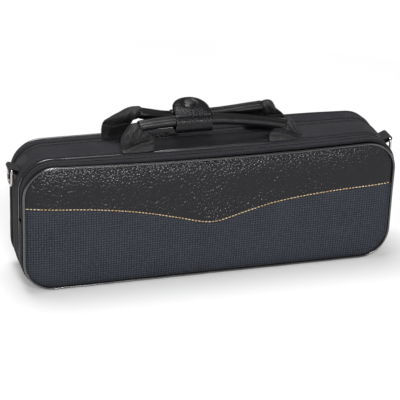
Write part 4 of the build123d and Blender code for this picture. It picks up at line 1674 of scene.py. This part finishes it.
@dataclass(frozen=True)
class Web:
    """Wide webbing that ties a grip's end to the case, its top folded in round the grip.

    Each level is a height, the left and right edge, the middle's depth and the thickness.
    The crease is where it folds over, as heights at shares of the width. Above it the cloth
    is gathered in pleats that lean towards the grip.
    """

    end: str
    side: str
    fold: Fold
    lean: float
    seed: float
    crease: tuple[Spot, ...]
    levels: tuple[tuple[float, float, float, float, float], ...]
    count: int = 44
    step: float = 0.9
    crease_depth: float = 4.2
    crease_above: float = 2.6
    crease_reach: float = 1.8
    ridge: float = 2.0
    ridge_reach: float = 1.1
    pleat: float = 1.5
    pleat_pitch: float = 8.5
    pleat_fade: float = 6.0
    wander: float = 2.4
    wander_size: float = 11.0

    def level(self, height: float) -> list[float]:
        """Level at a height, between those given.

        Args:
            height: The height.

        Returns:
            Its five numbers.
        """
        at = bracket(self.levels, height)
        low, high = self.levels[at : at + 2]
        part = (height - low[0]) / (high[0] - low[0])
        return [a + (b - a) * part for a, b in zip(low, high)]

    def crease_at(self, t: float) -> float:
        """Height of the crease.

        Args:
            t: Share of the width, from the left.

        Returns:
            The height.
        """
        at = bracket(self.crease, t)
        (t1, z1), (t2, z2) = self.crease[at : at + 2]
        part = share(t, t1, t2)
        return z1 + (z2 - z1) * part * part * (3 - 2 * part)

    def folded(self, point: Vector) -> Vector:
        """Press a point in at the crease and pleat it above, on the front only.

        Args:
            point: The point.

        Returns:
            The point moved.
        """
        _, left, right, y, depth = self.level(point.z)
        front = share(y - point.y, 0.0, depth / 2)
        above = point.z - self.crease_at((point.x - left) / (right - left))
        ridge = self.ridge * exp(-((above / self.ridge_reach) ** 2))
        crease = self.crease_depth * exp(-(((above - self.crease_above) / self.crease_reach) ** 2))
        press = (crease - ridge) * min(1.0, depth / 4.0)
        wander = noise.noise(point / self.wander_size + Vector((self.seed, 0, 0))) * self.wander
        phase = 2 * pi * (point.x + self.lean * point.z) / self.pleat_pitch + wander
        below_top = share(self.levels[-1][0] - point.z, 0.0, self.pleat_fade)
        gathered = share(above, 1.0, self.pleat_fade) * below_top
        pleats = self.pleat * sin(phase) * gathered
        return point + Vector((0, (press + pleats) * front, 0))

    def mesh(self) -> Mesh:
        """Closed folded webbing.

        Returns:
            The mesh.
        """
        bm = bmesh.new()
        last: list[bmesh.types.BMEdge] = []
        foot, tip = self.levels[0][0], self.levels[-1][0]
        rows = round((tip - foot) / self.step)
        for i in range(rows + 1):
            height, left, right, y, depth = self.level(foot + (tip - foot) * i / rows)
            middle = Vector(((left + right) / 2, y, height))
            spots = ring((right - left) / 2, depth / 2, self.count, 5.0 - 2.4 * i / rows)
            circle = bmesh.ops.create_circle(bm, cap_ends=False, segments=self.count, radius=1.0)
            for vert, spot in zip(circle["verts"], spots):
                vert.co = middle + spot
            edges = list({edge for vert in circle["verts"] for edge in vert.link_edges})
            if last:
                bmesh.ops.bridge_loops(bm, edges=[*last, *edges])
            last = edges
        close_up(bm)
        lay_uv(bm, lambda corner, _: (corner.z + 0.35 * corner.y, corner.x))
        return bm

    def build(self) -> None:
        """The webbing, folded and crumpled."""
        bm = self.mesh()
        move_points(bm, self.folded, puckered(0.9, 10.0, self.seed))
        obj = piece(f"{self.end}_webbing_{self.side}", bm, Finish.WEBBING)
        soften(obj)
        carry(obj, self.fold, f"{self.end}_web_{self.side}")


WEBS = (
    Web(
        "front", "left", FRONT_FOOT, -0.5, 3.0,
        ((0.0, 150.4), (0.35, 154.2), (0.65, 157.2), (1.0, 159.5)),
        (
            (145.5, -98.5, -64.5, -17.0, 1.6), (148.4, -98.5, -64.5, -17.2, 1.6),
            (149.2, -100.0, -63.5, -18.6, 4.4), (151.6, -100.2, -63.0, -16.6, 4.4),
            (156.0, -100.7, -62.0, -13.4, 4.8), (160.0, -100.4, -61.6, -11.8, 6.4),
            (163.0, -99.4, -65.0, -10.6, 8.0), (166.5, -97.0, -71.0, -9.0, 10.5),
            (170.0, -93.6, -74.5, -7.5, 12.6), (173.5, -91.0, -76.5, -6.4, 12.8),
            (176.2, -89.0, -78.5, -6.0, 10.0), (177.6, -86.5, -80.5, -6.0, 5.0),
        ),
    ),
    Web(
        "front", "right", FRONT_FOOT, 0.5, 8.0,
        ((0.0, 156.5), (0.28, 156.0), (0.6, 152.5), (1.0, 147.5)),
        (
            (145.2, 70.0, 104.5, -17.0, 1.6), (147.6, 70.0, 104.5, -17.2, 1.6),
            (148.4, 68.6, 107.0, -18.8, 4.2), (150.4, 68.2, 107.5, -16.8, 4.2),
            (152.5, 68.0, 107.5, -15.2, 4.6), (156.0, 68.8, 106.3, -12.8, 6.6),
            (159.0, 76.0, 104.8, -10.4, 9.2), (162.0, 84.5, 102.8, -8.0, 11.6),
            (165.0, 89.0, 100.8, -6.5, 11.4), (167.6, 92.0, 99.0, -6.0, 8.0),
            (169.0, 94.0, 97.5, -6.0, 4.0),
        ),
    ),
    Web(
        "rear", "left", REAR_FOOT, -0.6, 14.0,
        ((0.0, 166.0), (0.4, 164.0), (0.7, 166.0), (1.0, 168.0)),
        (
            (147.5, -113.0, -81.0, 28.0, 2.6), (150.6, -113.0, -81.0, 28.0, 3.2),
            (157.0, -113.3, -80.5, 26.5, 3.4), (164.0, -113.5, -80.0, 24.0, 4.2),
            (169.0, -113.3, -79.5, 21.5, 5.5), (173.0, -112.0, -76.0, 18.5, 8.0),
            (177.0, -107.0, -72.5, 15.5, 11.0), (181.0, -100.5, -70.5, 13.3, 13.5),
            (185.0, -93.0, -70.0, 12.2, 13.6), (188.3, -86.5, -71.0, 12.0, 10.5),
            (190.3, -82.0, -74.0, 12.0, 5.0),
        ),
    ),
    Web(
        "rear", "right", REAR_FOOT, 0.5, 21.0,
        ((0.0, 163.0), (0.5, 160.0), (1.0, 161.0)),
        (
            (147.5, 57.0, 102.0, 28.0, 2.6), (150.6, 54.0, 102.0, 28.0, 3.2),
            (156.0, 51.0, 101.0, 27.0, 3.4), (161.0, 49.0, 98.5, 25.0, 4.2),
            (166.0, 49.0, 94.5, 21.5, 6.0), (170.0, 54.0, 90.0, 18.5, 8.5),
            (174.0, 63.0, 86.0, 15.8, 11.5), (178.0, 64.5, 83.5, 13.5, 13.6),
            (181.5, 65.5, 81.5, 12.3, 13.2), (184.3, 68.5, 79.5, 12.0, 9.5),
            (185.8, 71.5, 76.5, 12.0, 4.0),
        ),
    ),
)


@dataclass(frozen=True)
class Handles:
    """The two carrying handles with their webbing: ends and middles as X and Z."""

    front_y: float = -6.0
    front_left: Spot = (-79.0, 174.2)
    front_middle: Spot = (-17.0, 176.9)
    front_right: Spot = (90.0, 162.1)
    rear_y: float = 12.0
    rear_left: Spot = (-74.0, 182.0)
    rear_right: Spot = (68.0, 179.2)
    level: float = 174.6
    bend_left: Spot = (-42.0, 120.0)
    bend_right: Spot = (10.0, 600.0)

    def front(self) -> None:
        """Front handle: one long bow that drops to the right."""
        grip = Grip("front", self.front_y)
        centre, radius = arc_through(self.front_left, self.front_middle, self.front_right)
        start, end = (atan2(z - centre.z, x - centre.x) for x, z in (self.front_left, self.front_right))
        pen = Pen([(centre.x + radius + z, grip.y + y, centre.z) for y, z in grip.section()], True)
        bmesh.ops.rotate(pen.bm, cent=centre, matrix=Matrix.Rotation(-start, 3, "Y"), verts=pen.bm.verts)
        grip.close(pen.turn(centre, start - end, 48))

    def rear(self) -> None:
        """Rear handle: level between its two bends, rising to both ends."""
        grip = Grip("rear", self.rear_y)
        (start_x, start_z), (end_x, end_z) = self.rear_left, self.rear_right
        (left_x, left_radius), (right_x, right_radius) = self.bend_left, self.bend_right
        left = Vector((left_x - start_x, 0, self.level - start_z))
        right = Vector((end_x - right_x, 0, end_z - self.level))
        left_slope, right_slope = atan2(-left.z, left.x), atan2(right.z, right.x)
        left_tuck = left_radius * tan(left_slope / 2)
        right_tuck = right_radius * tan(right_slope / 2)
        pen = Pen([(start_x, grip.y + y, start_z + z) for y, z in grip.section()], True)
        tilt = Matrix.Rotation(left_slope, 3, "Y")
        bmesh.ops.rotate(pen.bm, cent=(start_x, 0, start_z), matrix=tilt, verts=pen.bm.verts)
        pen.line(left * (1 - left_tuck / left.length), 8)
        pen.turn((left_x + left_tuck, 0, self.level + left_radius), -left_slope, 8)
        pen.line((right_x - right_tuck - left_x - left_tuck, 0, 0), 6)
        pen.turn((right_x - right_tuck, 0, self.level + right_radius), -right_slope, 12)
        grip.close(pen.line(right * (1 - right_tuck / right.length), 6))

    def bar_tacks(self) -> None:
        """Bar tacks that close the front grip's ends."""
        places = []
        for (x, z), way in ((self.front_left, 1), (self.front_right, -1)):
            for turned in (radians(118 - 20 * i) for i in range(4)):
                out = Vector((0, -sin(turned), cos(turned)))
                spot = Vector((x + way * 2.2, self.front_y, z)) + out * 6.5
                places.append(placed(spot, Vector((way, 0, 0)), out))
        obj = piece("grip_bar_tacks", scattered(stitch(2.4, 0.55), places), Finish.DARK_THREAD)
        carry(obj, "front_handle")

    def build(self) -> None:
        """Both handles and their four webs."""
        self.front()
        self.rear()
        self.bar_tacks()
        for web in WEBS:
            web.build()


@dataclass(frozen=True)
class SnapWrap:
    """Leatherette wrap: sling round the front grip, tongue over both, cuff and snap."""

    left: float = -38.0
    width: float = 41.0
    grip_y: float = -6.0
    top_z: float = 176.5
    sling_z: float = 171.2
    rear_z: float = 172.0
    radius: float = 8.0
    tongue: float = 32.0
    lift: float = radians(15.0)
    cuff_y: float = 12.0
    cuff_z: float = 174.6
    cuff_radius: float = 7.6
    snap_x: float = -17.5
    snap_way: float = 18.0
    snap_lift: float = 1.0
    fold_rise: float = 8.8
    dimple: float = 7.0
    dimple_reach: float = 1.4
    dimple_depth: float = 1.5
    padding: float = 1.6
    padding_from: float = 9.0
    edge_roll: float = 1.2
    edge_reach: float = 4.2

    @property
    def fold(self) -> float:
        """Distance along the wrap at which it leaves the grip."""
        straight = self.rear_z - self.sling_z + self.top_z - self.sling_z
        return straight + self.radius * (pi + pi / 2 - self.lift)

    def bent(self, way: float) -> Spot:
        """Place of the wrap, seen from its end.

        Args:
            way: Distance along it, from its free end behind the grip.

        Returns:
            Y and Z.
        """
        radius, lift = self.radius, self.lift
        if way <= self.rear_z - self.sling_z:
            return self.grip_y + radius, self.rear_z - way
        way -= self.rear_z - self.sling_z
        if way <= pi * radius:
            return self.grip_y + radius * cos(way / radius), self.sling_z - radius * sin(way / radius)
        way -= pi * radius
        if way <= self.top_z - self.sling_z:
            return self.grip_y - radius, self.sling_z + way
        way -= self.top_z - self.sling_z
        arc = radius * (pi / 2 - lift)
        if way <= arc:
            return self.grip_y - radius * cos(way / radius), self.top_z + radius * sin(way / radius)
        way -= arc
        y, z = self.grip_y - radius * sin(lift), self.top_z + radius * cos(lift)
        return y + way * cos(lift), z + way * sin(lift)

    def puff(self, x: float, way: float, tip: float) -> float:
        """How far the padded tongue stands off its own plane.

        Args:
            x: Distance from its middle line.
            way: Distance past the fold.
            tip: Where its round end is centred.

        Returns:
            Height, less at the rolled edge and in the groove round the snap.
        """
        off = hypot(x, way - tip) if way > tip else abs(x)
        edge = max(0.0, (off - (self.width / 2 - self.edge_reach)) / self.edge_reach)
        from_snap = hypot(x, way - self.snap_way)
        groove = self.dimple_depth * exp(-(((from_snap - self.dimple) / self.dimple_reach) ** 2))
        full = self.padding * (1 - (off / self.width * 2) ** 2) - self.edge_roll * edge**2 - groove
        return min(1.0, way / self.padding_from) * full

    def strap(self) -> None:
        """The wrap from its free end to the tongue's round tip, in one piece."""
        length = self.fold + self.tongue
        tip = length - self.width / 2
        bm = bmesh.new()
        bmesh.ops.create_grid(bm, x_segments=22, y_segments=56, size=0.5)
        bmesh.ops.scale(bm, vec=(self.width, length, 1), verts=bm.verts)
        bmesh.ops.translate(bm, vec=(0, length / 2, 0), verts=bm.verts)
        for i in range(1, 24):
            out = Vector((cos(pi * i / 24), sin(pi * i / 24), 0))
            keep_side(bm, Vector((0, tip, 0)) + out * self.width / 2, out)
        lay_uv(bm, lambda corner, _: (corner.x, corner.y))
        area = sum(face.calc_area() for face in bm.faces)
        for vert in bm.verts:
            x, way = vert.co.x, vert.co.y
            y, z = self.bent(way)
            rise = self.puff(x, way - self.fold, tip - self.fold) if way > self.fold else 0.0
            middle = self.left + self.width / 2
            vert.co = (middle + x, y - rise * sin(self.lift), z + rise * cos(self.lift))
        move_points(bm, puckered(0.35, 18.0, 21.0))
        bmesh.ops.recalc_face_normals(bm, faces=bm.faces)
        if max(bm.faces, key=lambda face: face.calc_center_median().z).normal.z < 0:
            bmesh.ops.reverse_faces(bm, faces=bm.faces)
        obj = piece("wrap_strap", bm, Finish.WRAP)
        thicken(obj, 1.5, 0.0)
        ease(obj, 0.45)
        carry(obj, TONGUE_FOLD, "wrap_band", "wrap_tongue")

    def cuff(self) -> None:
        """Leatherette cuff round the rear grip."""
        spots = ring(self.cuff_radius, self.cuff_radius, 24)
        pen = Pen([(self.left, self.cuff_y + p.x, self.cuff_z + p.y) for p in spots], True)
        bm = pen.line((self.width, 0, 0), 12).bm
        bmesh.ops.recalc_face_normals(bm, faces=bm.faces)
        lay_uv(bm, lambda corner, _: (corner.x, corner.z))
        obj = piece("cuff_cover", bm, Finish.WRAP)
        thicken(obj, 1.1, 0.0)
        ease(obj, 0.4)
        carry(obj, "rear_handle", "rear_cuff")

    def snap(self) -> None:
        """Low domed snap cap."""
        profile = ((6.0, 0.0), (6.0, 0.3), (5.5, 0.7), (4.2, 1.1), (2.4, 1.4), (0.001, 1.5))
        pen = Pen([(r, 0, z) for r, z in profile])
        bmesh.ops.spin(
            pen.bm, geom=pen.last, cent=(0, 0, 0), axis=(0, 0, 1), dvec=(0, 0, 0),
            angle=2 * pi, steps=32, use_merge=True, use_duplicate=False,
        )
        close_up(pen.bm, 0.002)
        fold = Matrix.Translation((0, self.grip_y, self.top_z + self.fold_rise))
        tilt = Matrix.Rotation(self.lift, 4, "X")
        place = fold @ tilt @ Matrix.Translation((self.snap_x, self.snap_way, self.snap_lift))
        bmesh.ops.transform(pen.bm, matrix=place, verts=pen.bm.verts)
        obj = piece("snap_button", pen.bm, Finish.SNAP)
        ease(obj, 0.15)
        carry(obj, "wrap_tongue", "snap_cap")

    def build(self) -> None:
        """Strap, cuff and snap."""
        self.strap()
        self.cuff()
        self.snap()
        Finish.SNAP.wear(FRAME["nodes"]["snap_stud"])


class Hardware:
    """Metal parts whose solids stay in view."""

    WORN = {
        Finish.ENAMEL: (
            "main_slider_left", "main_slider_right", "main_pull_left", "main_pull_right",
            "pocket_slider", "pocket_pull",
        ),
        Finish.NICKEL: ("strap_ring_left", "strap_ring_right"),
    }

    def build(self) -> None:
        """Enamel on the zips' metal and nickel on the rings."""
        for finish, nodes in self.WORN.items():
            for node in nodes:
                finish.wear(FRAME["nodes"][node])


def main() -> None:
    """Load the solids, set up the studio and dress the case round them."""
    logging.basicConfig(level=logging.INFO, format="%(message)s")
    noise.seed_set(PUCKER_SEED)
    FRAME.update(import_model())
    Studio().build()
    anchors = StrapAnchor(-1, "strap_tab_left"), StrapAnchor(1, "strap_tab_right")
    for part in (MainShell(), FrontPocket(), Lid(), *anchors, Handles(), SnapWrap(), Hardware()):
        part.build()
        LOG.info("%s done", type(part).__name__)


if __name__ == "__main__":
    main()
